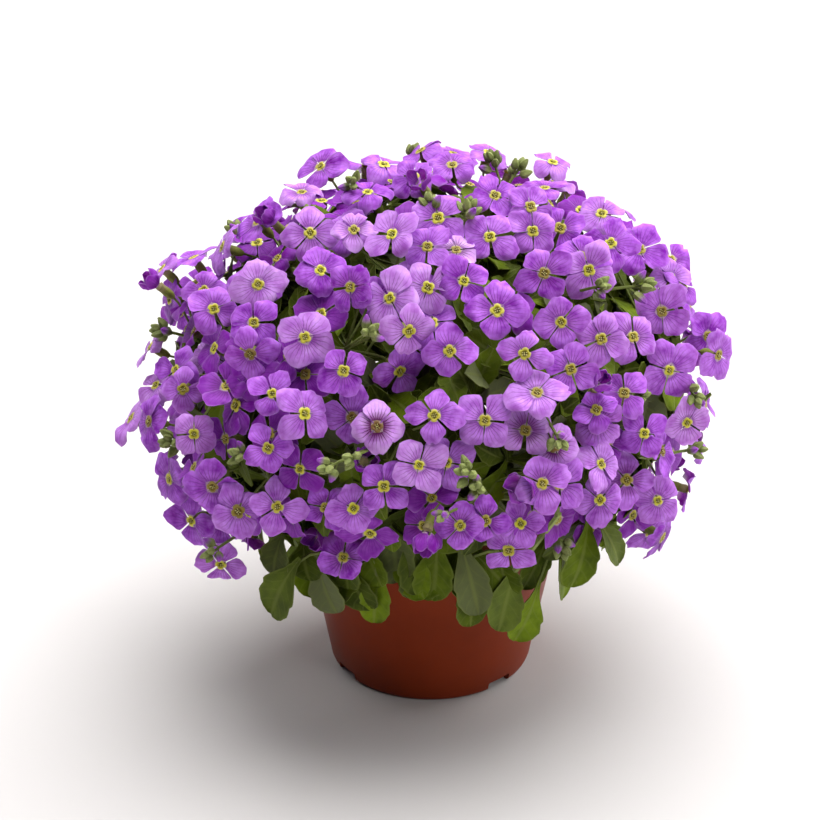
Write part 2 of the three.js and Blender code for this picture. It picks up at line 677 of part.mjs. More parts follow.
// A leaf lies out sideways under the flowers of every spray, between the corners of its core.
sprays.forEach((spray, order) => {
  const index = 400 + order;
  growLeaf(spray, index, spray.tip, (attempt) => {
    const quarter = Math.floor(4 * draw(index, 1)) + attempt;
    const turn = (quarter + 0.5 + 0.2 * sway(index, 2)) * Math.PI / 2;
    const tilt = 0.1 + 0.25 * draw(index, 3);
    const along = new THREE.Vector3(Math.cos(turn), Math.sin(turn), tilt)
      .applyQuaternion(spray.turned)
      .normalize();
    return { along, up: spray.site.out };
  });
});

const material = {
  pot: new THREE.MeshStandardMaterial({ color: 0x9a4a2c, roughness: 0.55, metalness: 0 }),
  soil: new THREE.MeshStandardMaterial({ color: 0x3a2a1e, roughness: 1, metalness: 0 }),
  spray: new THREE.MeshStandardMaterial({ color: 0x8a4cc8, roughness: 0.6, metalness: 0 }),
  shoot: new THREE.MeshStandardMaterial({ color: 0x4c7a2a, roughness: 0.7, metalness: 0 }),
};

const plant = new THREE.Group();

function addNode(name, solid, finish) {
  const mesh = new THREE.Mesh(toGeometry(solid), finish);
  mesh.name = name;
  plant.add(mesh);
}

addNode("pot", pot, material.pot);
addNode("compost", compost, material.soil);
for (const stem of sprays) addNode(stem.name, fuse(stem.parts), material.spray);
for (const stem of shoots) addNode(stem.name, fuse(stem.parts), material.shoot);

// The flowers reach out a little unevenly, so the whole is moved to stand centred on the origin.
const middle = new THREE.Box3().setFromObject(plant).getCenter(new THREE.Vector3());
for (const mesh of plant.children) mesh.geometry.translate(-middle.x, -middle.y, 0);

export default plant;
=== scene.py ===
import math
import bmesh
import bpy
import numpy as np
from mathutils import Euler, Matrix, Vector, kdtree, noise


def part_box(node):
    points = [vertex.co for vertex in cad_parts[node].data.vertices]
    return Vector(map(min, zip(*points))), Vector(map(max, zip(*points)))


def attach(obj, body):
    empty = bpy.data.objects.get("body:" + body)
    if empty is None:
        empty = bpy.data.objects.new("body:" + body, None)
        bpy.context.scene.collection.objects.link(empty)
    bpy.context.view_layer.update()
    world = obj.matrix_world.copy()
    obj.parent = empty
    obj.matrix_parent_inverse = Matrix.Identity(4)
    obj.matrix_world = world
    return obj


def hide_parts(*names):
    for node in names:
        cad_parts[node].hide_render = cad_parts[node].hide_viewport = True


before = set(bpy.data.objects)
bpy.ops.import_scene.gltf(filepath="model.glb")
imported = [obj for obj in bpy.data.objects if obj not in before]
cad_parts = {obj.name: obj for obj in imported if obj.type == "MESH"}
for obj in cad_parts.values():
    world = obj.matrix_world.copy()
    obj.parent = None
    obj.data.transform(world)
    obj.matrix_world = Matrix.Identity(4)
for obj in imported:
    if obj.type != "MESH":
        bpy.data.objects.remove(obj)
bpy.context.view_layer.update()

scene = bpy.context.scene

# The view. The camera stands in front of the plant, a little left of the pot's axis, and looks down
# on it through a long lens. The pot is built in millimetres round its own axis, and so is the plant.
MM = 0.001
pot_low, pot_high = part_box("pot")
AXIS = Vector(((pot_low.x + pot_high.x) / 2, (pot_low.y + pot_high.y) / 2, 0))
PHOTO_SIDE = 820
PHOTO_FOCAL = 2580
LOOK_DOWN = 28.8
CAMERA_PLACE = Vector((-8.264, -865.976, 583.576))
camera_data = bpy.data.cameras.new("camera")
camera_data.sensor_width = 36
camera_data.lens = PHOTO_FOCAL / PHOTO_SIDE * camera_data.sensor_width
camera = bpy.data.objects.new("camera", camera_data)
camera.location = AXIS + CAMERA_PLACE * MM
camera.rotation_euler = Euler((math.radians(90 - LOOK_DOWN), 0, 0))
scene.collection.objects.link(camera)
scene.camera = camera

# The studio: a pale paper floor that runs back to the horizon in a dim white room. Three wide soft
# lights shine from overhead and from behind at each side, and a smaller one from the front right.
FLOOR_REACH = 4
FLOOR_COLOUR = (0.60, 0.59, 0.585)
ROOM_COLOUR = (1.0, 0.975, 0.965, 1)
ROOM_STRENGTH = 0.035
WARM_WHITE = (1.0, 0.98, 0.972)

def object_of(name, shape):
    """Makes an object of a bmesh, which is used up."""
    mesh = bpy.data.meshes.new(name)
    shape.to_mesh(mesh)
    shape.free()
    made = bpy.data.objects.new(name, mesh)
    scene.collection.objects.link(made)
    return made

def feed(tree, socket, value):
    """Sets a socket to a number, colour or vector, or links another node's output to it."""
    if isinstance(value, bpy.types.NodeSocket):
        tree.links.new(value, socket)
    elif socket.type == "RGBA":
        socket.default_value = (*value, 1)
    else:
        socket.default_value = value

def plain_material(name, colour, roughness):
    material = bpy.data.materials.new(name)
    material.use_nodes = True
    tree = material.node_tree
    shader = tree.nodes["Principled BSDF"]
    feed(tree, shader.inputs["Base Color"], colour)
    feed(tree, shader.inputs["Roughness"], roughness)
    return material, tree, shader

def studio_light(name, kind, place, aim, **settings):
    data = bpy.data.lights.new(name, kind)
    data.color = WARM_WHITE
    for setting, value in settings.items():
        setattr(data, setting, value)
    light = bpy.data.objects.new(name, data)
    light.location = AXIS + Vector(place)
    light.rotation_euler = (Vector(aim) - Vector(place)).to_track_quat("-Z", "Y").to_euler()
    scene.collection.objects.link(light)

floor_shape = bmesh.new()
bmesh.ops.create_grid(floor_shape, x_segments=2, y_segments=2, size=FLOOR_REACH)
floor = object_of("studio_floor", floor_shape)
floor_finish, _, _ = plain_material("studio_paper", FLOOR_COLOUR, 0.9)
floor.data.materials.append(floor_finish)

room = bpy.data.worlds.new("studio_room")
room.use_nodes = True
room.node_tree.nodes["Background"].inputs["Color"].default_value = ROOM_COLOUR
room.node_tree.nodes["Background"].inputs["Strength"].default_value = ROOM_STRENGTH
scene.world = room
scene.view_settings.view_transform = "Standard"

for name, place, energy, degrees in (("right_panel", (0.75, 0.5, 0.52), 2.0, 44),
                                     ("left_panel", (-0.6, 0.7, 0.65), 1.15, 44),
                                     ("overhead_panel", (0.1, 0.2, 1.0), 4.4, 56)):
    studio_light(name, "SUN", place, (0, 0, 0), energy=energy, angle=math.radians(degrees))
studio_light("front_panel", "AREA", (1.15, -0.95, 1.05), (0, 0, 0.14), energy=8.0, shape="DISK", size=0.9)

# The pot: a thin-walled nursery pot of terracotta-coloured plastic, injection moulded in one piece.
# Its wall tapers to a foot ring with four notches, the floor is raised and has five drain holes,
# and a lip turns out round the rim. The mould leaves a satin skin.
RIM = 55
FOOT = 40
POT_HEIGHT = 80
POT_WALL = 1.4
POT_SIDES = 128
LIP_HEIGHT = 8
LIP_OVERHANG = 1.8
POT_FLOOR = 5
NOTCH_DEGREES = (-48, 40, 130, 214)
NOTCH_SIZE = (7, 11, 7.6)
NOTCH_ROUND = 0.8
DRAIN_RADIUS = 4
DRAIN_RING = 24
DRAIN_COUNT = 5
SHARP_DEGREES = 34
TERRACOTTA_DARK = (0.197, 0.022, 0.0020)
TERRACOTTA_LIGHT = (0.238, 0.028, 0.0030)

def finished(name, shape, materials):
    """Makes a piece of a bmesh, in place round the pot's axis, and lets it ride on the one body."""
    piece = object_of(name, shape)
    piece.data.transform(Matrix.Translation(AXIS) @ Matrix.Scale(MM, 4))
    for material in materials:
        piece.data.materials.append(material)
    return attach(piece, "root")

def turned_shape(outline, steps):
    """A closed shape spun round the axis from an outline of (radius, height)."""
    shape = bmesh.new()
    corners = [shape.verts.new((radius, 0, height)) for radius, height in outline]
    edges = [shape.edges.new(pair) for pair in zip(corners, corners[1:])]
    bmesh.ops.spin(shape, geom=corners + edges, cent=(0, 0, 0), axis=(0, 0, 1),
                   angle=math.tau, steps=steps, use_merge=True)
    bmesh.ops.remove_doubles(shape, verts=shape.verts[:], dist=1e-4)
    bmesh.ops.recalc_face_normals(shape, faces=shape.faces[:])
    return shape

# The outline runs from under the floor round the foot ring, up the outside, over the lip and down
# the inside. Each corner is rounded by a few points close together.
shoulder = RIM - LIP_OVERHANG
lip_foot = POT_HEIGHT - LIP_HEIGHT
inner_foot = FOOT - 2 * POT_WALL
floor_top = POT_FLOOR + POT_WALL
pot_shape = turned_shape([
    (0, POT_FLOOR), (inner_foot - 0.8, POT_FLOOR), (inner_foot - 0.1, POT_FLOOR - 0.7),
    (inner_foot, 0.4), (inner_foot + 0.4, 0), (FOOT - 1.6, 0), (FOOT - 0.9, 0.25),
    (FOOT - 0.3, 0.8), (FOOT, 1.6), (FOOT + 0.2, 3), (shoulder - 0.8, lip_foot - 1.2),
    (shoulder - 0.5, lip_foot - 0.3), (shoulder - 0.1, lip_foot), (RIM - 1.0, lip_foot + 0.05),
    (RIM - 0.6, lip_foot + 0.4), (RIM - 0.45, lip_foot + 1.2), (RIM - 0.05, POT_HEIGHT - 0.8),
    (RIM - 0.2, POT_HEIGHT - 0.25), (RIM - 0.7, POT_HEIGHT),
    (shoulder - POT_WALL + 0.5, POT_HEIGHT), (shoulder - POT_WALL, POT_HEIGHT - 0.5),
    (FOOT - POT_WALL + 1, floor_top + 1.5), (FOOT - POT_WALL - 0.6, floor_top), (0, floor_top),
], POT_SIDES)

notches = bmesh.new()
for degrees in NOTCH_DEGREES:
    place = (Matrix.Rotation(math.radians(degrees), 4, "Z")
             @ Matrix.Translation((FOOT - POT_WALL, 0, 0)) @ Matrix.Diagonal((*NOTCH_SIZE, 1)))
    cube = bmesh.ops.create_cube(notches, size=1, matrix=place)
    top_edges = [edge for edge in {e for v in cube["verts"] for e in v.link_edges}
                 if all(v.co.z > 0 for v in edge.verts)]
    bmesh.ops.bevel(notches, geom=top_edges, offset=NOTCH_ROUND, segments=3, profile=0.5,
                    affect="EDGES", material=-1)
drains = bmesh.new()
for i in range(DRAIN_COUNT):
    place = (Matrix.Rotation(i * math.tau / DRAIN_COUNT, 4, "Z")
             @ Matrix.Translation((DRAIN_RING, 0, POT_FLOOR + POT_WALL / 2)))
    bmesh.ops.create_cone(drains, cap_ends=True, segments=24, radius1=DRAIN_RADIUS,
                          radius2=DRAIN_RADIUS, depth=4 * POT_WALL, matrix=place)
blank = object_of("pot_blank", pot_shape)
tools = [object_of("notch_tool", notches), object_of("drain_tool", drains)]
for tool in tools:
    cut = blank.modifiers.new(tool.name, "BOOLEAN")
    cut.operation = "DIFFERENCE"
    cut.solver = "EXACT"
    cut.object = tool
bpy.context.view_layer.update()
pot_shape = bmesh.new()
pot_shape.from_object(blank, bpy.context.evaluated_depsgraph_get())
for spare in [blank, *tools]:
    bpy.data.objects.remove(spare)

def added(tree, kind, values, **settings):
    """Adds a node with its settings, feeds its inputs, and gives its outputs."""
    node = tree.nodes.new(kind)
    for name, value in settings.items():
        setattr(node, name, value)
    for name, value in values.items():
        feed(tree, node.inputs[name], value)
    return node.outputs

def ranged(tree, value, low, high, to_low=0, to_high=1):
    values = {"Value": value, "From Min": low, "From Max": high, "To Min": to_low, "To Max": to_high}
    return added(tree, "ShaderNodeMapRange", values)["Result"]

def worked(tree, operation, *values):
    return added(tree, "ShaderNodeMath", dict(enumerate(values)), operation=operation)["Value"]

def mixed(tree, share, first, second):
    return added(tree, "ShaderNodeMix", {0: share, 6: first, 7: second}, data_type="RGBA")[2]

def new_group(name, inputs):
    """A shader node group with named inputs and their first values."""
    group = bpy.data.node_groups.new(name, "ShaderNodeTree")
    for socket, value in inputs.items():
        is_colour = isinstance(value, tuple)
        made = group.interface.new_socket(
            socket, in_out="INPUT", socket_type="NodeSocketColor" if is_colour else "NodeSocketFloat")
        made.default_value = (*value, 1) if is_colour else value
    return group, group.nodes.new("NodeGroupInput").outputs

def put_out(group, outputs):
    """Gives a node group its named outputs."""
    for name, value in outputs.items():
        kind = "NodeSocketColor" if value.type == "RGBA" else "NodeSocketFloat"
        group.interface.new_socket(name, in_out="OUTPUT", socket_type=kind)
    end = group.nodes.new("NodeGroupOutput")
    for name, value in outputs.items():
        group.links.new(value, end.inputs[name])

# Grain: an uneven value in the stuff itself, and a mask of where it lies from a low to a high value.
grain, given = new_group("grain", {"Scale": 100, "Detail": 2, "Roughness": 0.5, "Low": 0.3, "High": 0.7})
uneven = added(grain, "ShaderNodeTexNoise", {
    "Vector": added(grain, "ShaderNodeTexCoord", {})["Object"],
    "Scale": given["Scale"], "Detail": given["Detail"], "Roughness": given["Roughness"]})["Fac"]
put_out(grain, {"Value": uneven, "Mask": ranged(grain, uneven, given["Low"], given["High"])})

def placed(tree, group, **values):
    """Places a node group in a material with its own values, and gives its outputs."""
    return added(tree, "ShaderNodeGroup", values, node_tree=group)

def dressed(tree, shader, values, height, strength, distance):
    """Feeds the shader's own sockets, and gives it a relief of a depth in metres."""
    relief = {"Height": height, "Strength": strength, "Distance": distance}
    values = {**values, "Normal": added(tree, "ShaderNodeBump", relief)["Normal"]}
    for name, value in values.items():
        feed(tree, shader.inputs[name], value)

plastic, tree, shader = plain_material("terracotta_plastic", TERRACOTTA_DARK, 0.42)
clouds = placed(tree, grain, Scale=28, Detail=3, Low=0.35, High=0.65)
pores = placed(tree, grain, Scale=1400)["Value"]
dressed(tree, shader, {
    "Base Color": mixed(tree, clouds["Mask"], TERRACOTTA_DARK, TERRACOTTA_LIGHT),
    "Roughness": ranged(tree, clouds["Value"], 0.3, 0.7, 0.36, 0.46),
    "Specular IOR Level": 0.16}, pores, 0.12, 0.0002)
pot = finished("pot_moulding", pot_shape, [plastic])
for polygon in pot.data.polygons:
    polygon.use_smooth = True
pot.data.set_sharp_from_angle(angle=math.radians(SHARP_DEGREES))
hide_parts("pot")

# The compost: peat and fine bark that fills the pot to below its lip, crowned in the middle. It is
# made as a turned plug with a crumbly top.
SOIL_LEVEL = 71
SOIL_DOME = 2.5
SOIL_SIDES = 96
SOIL_STEPS = 24
SOIL_LUMPS = 0.9
SEAT_GAP = 0.35
PEAT = (0.012, 0.007, 0.004)
CRUMB = (0.06, 0.034, 0.02)
FIBRE = (0.10, 0.062, 0.036)

def inside_radius(height):
    share = (height - floor_top) / (POT_HEIGHT - floor_top)
    return FOOT - POT_WALL + (RIM - LIP_OVERHANG - FOOT) * share - SEAT_GAP

SOIL_RADIUS = inside_radius(SOIL_LEVEL)

def soil_height(radius):
    return SOIL_LEVEL + SOIL_DOME * (1 - (radius / SOIL_RADIUS) ** 2)

seat = floor_top + SEAT_GAP
crown = [SOIL_RADIUS * (1 - i / SOIL_STEPS) for i in range(SOIL_STEPS + 1)]
soil_shape = turned_shape([(0, seat), (inside_radius(floor_top) - 1, seat)]
                          + [(radius, soil_height(radius)) for radius in crown], SOIL_SIDES)
for vertex in soil_shape.verts:
    if vertex.co.z > SOIL_LEVEL - 1 and vertex.co.xy.length < SOIL_RADIUS - 0.5:
        lumps = noise.noise(vertex.co * 0.35) + 0.6 * noise.noise(vertex.co * 0.9)
        vertex.co.z += SOIL_LUMPS * lumps
soil, tree, shader = plain_material("peat_compost", PEAT, 0.95)
crumbs = placed(tree, grain, Scale=700, Detail=4, Roughness=0.7, Low=0.4, High=0.62)
fibres = placed(tree, grain, Scale=160, Detail=3, Low=0.6, High=0.72)
peat_and_bark = mixed(tree, crumbs["Mask"], PEAT, CRUMB)
dressed(tree, shader, {"Base Color": mixed(tree, fibres["Mask"], peat_and_bark, FIBRE)},
        crumbs["Value"], 0.8, 0.001)
compost = finished("compost_plug", soil_shape, [soil])
for polygon in compost.data.polygons:
    polygon.use_smooth = True
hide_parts("compost")

# The plant's own layout. Every spray, shoot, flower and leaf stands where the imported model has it,
# so the rule that they grow by is followed here with the same seeded draws, in millimetres from
# the foot of the pot's axis.
GOLDEN_ANGLE = math.pi * (3 - math.sqrt(5))
UP = Vector((0, 0, 1))
MOUND_RADIUS = 108
MOUND_MIDDLE = 122
MOUND_RISE = 84
MOUND_DROP = 78
SKIRT = 26
LOWEST = math.radians(126)
BROAD_LOBE = 0.035
NARROW_LOBE = 0.03
PROFILE_STEPS = 400
SPRAY_COUNT = 34
SHOOT_COUNT = 12
ROOT_DEPTH = 8
CROWN_RADIUS = 36
STALK_STEPS = 4
FINE_STEPS = 16
STALK_LEAN = 6
STALK_RISE = 34
STALK_RISE_OUTSIDE = 8
STALK_ARRIVAL = 46
STALK_SINK = 20
SHOOT_PATH = ((RIM - 10, POT_HEIGHT + 12), (RIM + 2, POT_HEIGHT + 14), (RIM + 10, POT_HEIGHT - 1))
BLOOM_SPREAD = 178
BLOOM_SIZE = 0.98
BLOOM_SIZE_CHANGE = 0.09
BLOOM_SINK = 4
BLOOM_WANDER = 4
BLOOM_LIFT = 0.3
BLOOM_TURN = 0.3
BLOOM_TRIES = 14
THROAT_DEPTH = 0.5
STEEPEST_FACE = 0.4
ROOTS_BACK = (0, 14, 26)
FRONT = Vector((0, -0.88, 0.48))
FRONT_TRIES = 60
FRONT_WANDER = (0.12, 3)
FRONT_TURN = (0.03, 0.5)
FRONT_SPIN = (2, 25)
FRONT_STEPS = (0, -1.5, 1.5, -3, 3, -4.5, -6, -8, -10, -12)
SAME_PLACE = 0.05
# Each flower that faces the camera: how far round and down the mound it grows in degrees, how far
# it stands proud, the way it faces as a turn and a rise, and how its petals are turned.
FRONT_BLOOMS = [
    (132, 37, -1, -143, 51, 65), (161, 30, -4, -90, 87, 25), (178, 37, -4, -164, 51, 65),
    (-179, 46, -4, -172, 25, 41), (170, 58, -3, 153, 63, 4), (172, 64, 1, 177, 41, 62),
    (-153, 28, -4, -90, 46, 2), (-132, 34, -4, -81, 49, 16), (-149, 44, -4, -90, 40, 17),
    (-166, 54, -4, -107, 45, 79), (-157, 55, -4, -82, 40, 67), (-140, 51, -4, -90, 40, 47),
    (-123, 49, -4, -90, 35, 63), (-159, 74, -4, -136, 33, 51), (-178, 91, -4, -153, 48, 19),
    (-152, 75, -4, -96, 23, 78), (178, 100, 9, -176, 37, 34), (-170, 95, 1, -150, 22, 62),
    (-125, 63, -4, -90, 35, 67), (-117, 66, -4, -58, 31, 63), (-123, 76, -4, -90, 32, 20),
    (-157, 103, -2, -145, 11, 89), (-135, 92, -4, -96, 5, 87), (-129, 97, -4, -96, 23, 20),
    (-121, 93, -4, -83, 29, 82), (-153, 114, -3, -127, 5, 58), (-114, 98, -4, -90, 11, 25),
    (124, 18, -4, -29, 77, 60), (95, 28, -2, 169, 59, 49), (78, 21, -4, -90, 77, 49),
    (67, 31, -2, -27, 70, 53), (-173, 13, -4, -90, 82, 18), (-136, 22, -4, -90, 59, 1),
    (-154, 21, -4, -101, 58, 61), (-15, 13, -4, -79, 58, 25), (-86, 14, -4, -98, 46, 50),
    (-93, 23, -4, -90, 46, 39), (-78, 23, -4, -76, 65, 52), (-59, 22, -4, -90, 46, 51),
    (-35, 25, -4, -82, 40, 55), (-79, 33, -4, -90, 40, 25), (-104, 37, -4, -111, 33, 65),
    (-91, 40, -4, -90, 40, 54), (-99, 43, -4, -90, 35, 86), (-71, 41, -4, -90, 43, 89),
    (-86, 50, -4, -90, 32, 3), (-111, 55, -4, -90, 35, 33), (-68, 52, -4, -90, 35, 80),
    (48, 39, 1, -29, 77, 36), (7, 36, -4, -90, 66, 27), (-11, 39, -4, -90, 46, 80),
    (-1, 46, -4, -90, 46, 64), (9, 58, -3, -58, 56, 60), (-49, 35, -4, -90, 35, 27),
    (-31, 40, -4, -83, 34, 62), (-19, 58, -4, -78, 22, 58), (-54, 47, -4, -90, 35, 7),
    (-44, 55, -4, -90, 35, 66), (1, 78, -4, -58, 19, 64), (-57, 58, -4, -90, 29, 66),
    (-27, 71, -4, -72, 16, 44), (-1, 60, -4, -40, 38, 70), (-102, 68, -4, -90, 35, 8),
    (-90, 65, -4, -90, 40, 87), (-79, 66, -4, -90, 40, 44), (-93, 77, -4, -90, 29, 28),
    (-106, 90, -4, -90, 29, 14), (-111, 121, -4, -90, 23, 32), (-85, 94, -4, -90, 23, 85),
    (-73, 96, -4, -90, 35, 11), (-67, 61, -4, -90, 59, 19), (-70, 70, -4, -90, 35, 25),
    (-65, 75, -4, -90, 40, 68), (-64, 86, -4, -90, 32, 46), (-53, 70, -4, -90, 46, 19),
    (-43, 70, -4, -90, 46, 38), (-53, 74, -4, -90, 17, 42), (-39, 83, -4, -77, 28, 43),
    (-1, 96, -4, -13, 13, 48), (-33, 90, -4, -20, 17, 22), (-42, 97, -4, -83, 29, 7),
    (-33, 106, -4, -70, 27, 72), (-18, 126, -4, -72, 10, 62), (-52, 98, -4, -78, 17, 11),
    (-158, 45, -4, -115, 44, 6), (174, 70, -3, -151, 15, 28), (160, 83, -4, -114, 15, 11),
    (-135, 57, -4, -96, 11, 12), (-160, 69, -4, -118, 32, 5), (-142, 81, -4, -90, 17, 46),
    (178, 106, -4, -109, 22, 78), (-152, 120, 0, -121, -13, 13), (-152, 128, -2, -90, -8, 83),
    (-107, 22, -4, -109, 51, 33), (-18, 21, -4, -65, 44, 69), (-101, 29, -4, -90, 52, 81),
    (-110, 31, -4, -109, 51, 22), (-92, 34, -4, -90, 35, 25), (-98, 51, -4, -90, -1, 17),
    (140, 5, -4, -90, 46, 33), (-114, 37, -4, -90, 11, 25), (16, 24, -4, 90, 87, 12),
    (-15, 28, -4, -68, 58, 10), (-2, 56, -4, -65, 44, 23), (-26, 36, -4, -79, 58, 80),
    (-5, 80, -2, -45, 9, 60), (-33, 59, -4, -67, 39, 63), (-109, 66, -4, -96, 23, 82),
    (-100, 83, -4, -84, 17, 51), (-73, 117, -4, -90, 5, 47), (-87, 78, -4, -90, 11, 29),
    (-80, 93, -4, -84, 17, 85), (-70, 83, -4, -83, 29, 27), (-28, 85, -4, -73, 4, 15),
    (-53, 85, -4, -44, 33, 89),
]

def draw(index, channel):
    """A number from 0 to 1, always the same for the same index and channel. Flowers, leaves, tufts
    and bud clusters each have their own range of indices."""
    wave = math.sin(index * 12.9898 + channel * 78.233 + 0.5) * 43758.5453
    return wave - math.floor(wave)

def sway(index, channel):
    return 2 * draw(index, channel) - 1

def swayed(index, channel):
    return Vector((sway(index, channel), sway(index, channel + 1), sway(index, channel + 2)))

def mound_profile(slope):
    height = MOUND_RISE if math.cos(slope) > 0 else MOUND_DROP
    return MOUND_RADIUS * math.sin(slope), MOUND_MIDDLE + height * math.cos(slope)

area_to_step = [0.0]
for i in range(1, PROFILE_STEPS + 1):
    (r0, z0), (r1, z1) = (mound_profile(k / PROFILE_STEPS * LOWEST) for k in (i - 1, i))
    area_to_step.append(area_to_step[-1] + (r0 + r1) / 2 * math.hypot(r1 - r0, z1 - z0))

def slope_at(share):
    return float(np.interp(share * area_to_step[-1], area_to_step,
                           np.linspace(0, LOWEST, PROFILE_STEPS + 1)))

class Site:
    """A place on the mound, the way straight out of it, and how far round and down it lies."""
    def __init__(self, turn, slope):
        radius, height = mound_profile(slope)
        wide = radius * (1 + math.sin(slope) * (BROAD_LOBE * math.sin(2 * turn + 0.4)
                                                + NARROW_LOBE * math.sin(6 * turn + 2 * slope)))
        sag = SKIRT * max(-math.cos(slope), 0) * math.cos(2 * turn)
        rise = MOUND_RISE if math.cos(slope) > 0 else MOUND_DROP
        self.turn, self.slope = turn, slope
        self.place = Vector((wide * math.cos(turn), wide * math.sin(turn), height - sag))
        self.out = Vector((math.sin(slope) / MOUND_RADIUS * math.cos(turn),
                           math.sin(slope) / MOUND_RADIUS * math.sin(turn),
                           math.cos(slope) / rise)).normalized()

    def lifted(self):
        """The way out, turned a little up to the light."""
        return (self.out * (1 - BLOOM_LIFT) + UP * BLOOM_LIFT).normalized()

def spread(count, index):
    """Spreads sites evenly over the mound, each a golden angle on from the last."""
    return Site(index * GOLDEN_ANGLE, slope_at((index + 0.5) / count))

def foot_at(turn, radius):
    return Vector((radius * math.cos(turn), radius * math.sin(turn), soil_height(radius) - ROOT_DEPTH))

def bezier(a, b, c, d, steps):
    return [a * (1 - t) ** 3 + b * 3 * t * (1 - t) ** 2 + c * 3 * t * t * (1 - t) + d * t ** 3
            for t in (i / steps for i in range(steps + 1))]

def back_from_tip(line, length):
    left = length
    for far, near in zip(line[::-1], line[-2::-1]):
        step = (far - near).length
        if left <= step:
            return far.lerp(near, left / step)
        left -= step
    return line[0].copy()

class Stem:
    """The stalk of a spray or a shoot: its path, coarse as packed and fine, and what grows on it."""
    def __init__(self, name, *knots):
        self.name, self.tip = name, knots[-1]
        self.corners, self.line = bezier(*knots, STALK_STEPS), bezier(*knots, FINE_STEPS)
        self.blooms, self.tufts, self.buds = [], [], []

sprays = []
for index in range(SPRAY_COUNT):
    site = spread(SPRAY_COUNT, index)
    foot = foot_at(site.turn, CROWN_RADIUS * math.sqrt((index + 0.5) / SPRAY_COUNT))
    leave = foot + Vector((STALK_LEAN * math.cos(site.turn), STALK_LEAN * math.sin(site.turn),
                           STALK_RISE + STALK_RISE_OUTSIDE * math.sin(site.slope)))
    spray = Stem(f"spray_{index + 1:02d}", foot, leave, site.place - STALK_ARRIVAL * site.out,
                 site.place - STALK_SINK * site.out)
    spray.site, spray.turned = site, UP.rotation_difference(site.out)
    sprays.append(spray)

shoots = []
for index in range(SHOOT_COUNT):
    turn = (index + 0.5 + 0.15 * sway(index, 3)) * math.tau / SHOOT_COUNT
    outward = Vector((math.cos(turn), math.sin(turn), 0))
    shoot = Stem(f"shoot_{index + 1:02d}", foot_at(turn, CROWN_RADIUS + 5),
                 *[outward * reach + UP * height for reach, height in SHOOT_PATH])
    shoot.outward = outward
    shoots.append(shoot)

def search_tree(places):
    """A tree that finds the places, by number, that lie near another place."""
    found = kdtree.KDTree(len(places))
    for number, place in enumerate(places):
        found.insert(place, number)
    found.balance()
    return found

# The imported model's own corners tell which of its tries each flower and leaf settled on.
stems = {stem.name: stem for stem in sprays + shoots}
corners = [(stems[name], (vertex.co - AXIS) / MM) for name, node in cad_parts.items()
           if name in stems for vertex in node.data.vertices]
packed = search_tree([place for _, place in corners])

def owner_of(place):
    """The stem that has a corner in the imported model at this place, or none."""
    _, number, distance = packed.find(place)
    return corners[number][0] if distance < SAME_PLACE else None

class Bloom:
    """A flower: its middle, the way it faces, how its petals are turned, its size, how far it has
    closed in millimetres, and how far it is shut as a share."""
    def __init__(self, index, place, face, spin):
        self.index, self.place, self.face, self.spin = index, place, face, spin
        self.size = BLOOM_SIZE + BLOOM_SIZE_CHANGE * sway(index, 5)
        self.turned = UP.rotation_difference(face)
        self.closing = self.shut = 0

    def throat(self):
        return self.place + self.turned @ Vector((0, 0, -THROAT_DEPTH * self.size))

def way_at(turn, up):
    turn, up = math.radians(turn), math.radians(up)
    return Vector((math.cos(up) * math.cos(turn), math.cos(up) * math.sin(turn), math.sin(up)))

def front_try(row, index, attempt):
    """A try strays from its row by a step for each attempt, up to a most."""
    turn, slope, proud, face_turn, face_up, spin = row
    wander, stray, extra_spin = (min(step * attempt, most)
                                 for step, most in (FRONT_WANDER, FRONT_TURN, FRONT_SPIN))
    site = Site(math.radians(turn), math.radians(slope))
    place = (site.place + site.out * (proud + FRONT_STEPS[attempt % len(FRONT_STEPS)])
             + swayed(index, 200 + 3 * attempt) * wander)
    face = way_at(face_turn, face_up) + swayed(index, 50 + 3 * attempt) * stray
    spin += extra_spin * sway(index, 120 + attempt)
    return Bloom(index, place, face.normalized(), spin)

def rest_try(site, index, attempt):
    channel = 50 + 7 * attempt
    depth = BLOOM_SINK * (1 + sway(index, channel + 3)) + attempt
    aside = Vector((sway(index, channel + 4), sway(index, channel + 5), 0))
    place = site.place - site.out * depth + aside * BLOOM_WANDER
    face = site.lifted() + swayed(index, channel) * BLOOM_TURN
    return Bloom(index, place, face.normalized(), 90 * draw(index, channel + 6))

def first_kept(tries):
    """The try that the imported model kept, with its spray, or none."""
    for bloom in tries:
        bloom.spray = owner_of(bloom.throat())
        if bloom.spray:
            return bloom

def nearest_spray(place):
    return min(sprays, key=lambda spray: (spray.site.place - place).length)

def set_back(bloom, depth):
    """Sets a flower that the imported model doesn't have a little back, on the nearest spray."""
    bloom.place -= bloom.face * depth
    bloom.spray = nearest_spray(bloom.place)
    return bloom

# A few flowers that show had no room as solids. They are only here, where thin petals do fit.
SQUEEZED_BACK = 2.5
kept, squeezed = [], []
for index, row in enumerate(FRONT_BLOOMS):
    bloom = first_kept(front_try(row, index, attempt) for attempt in range(FRONT_TRIES))
    if bloom:
        kept.append(bloom)
    else:
        squeezed.append(set_back(front_try(row, index, 0), SQUEEZED_BACK))
for order in range(BLOOM_SPREAD):
    site = spread(BLOOM_SPREAD, order)
    if site.out.dot(FRONT) <= 0:
        index = len(FRONT_BLOOMS) + order
        bloom = first_kept(rest_try(site, index, attempt) for attempt in range(BLOOM_TRIES))
        if bloom:
            kept.append(bloom)

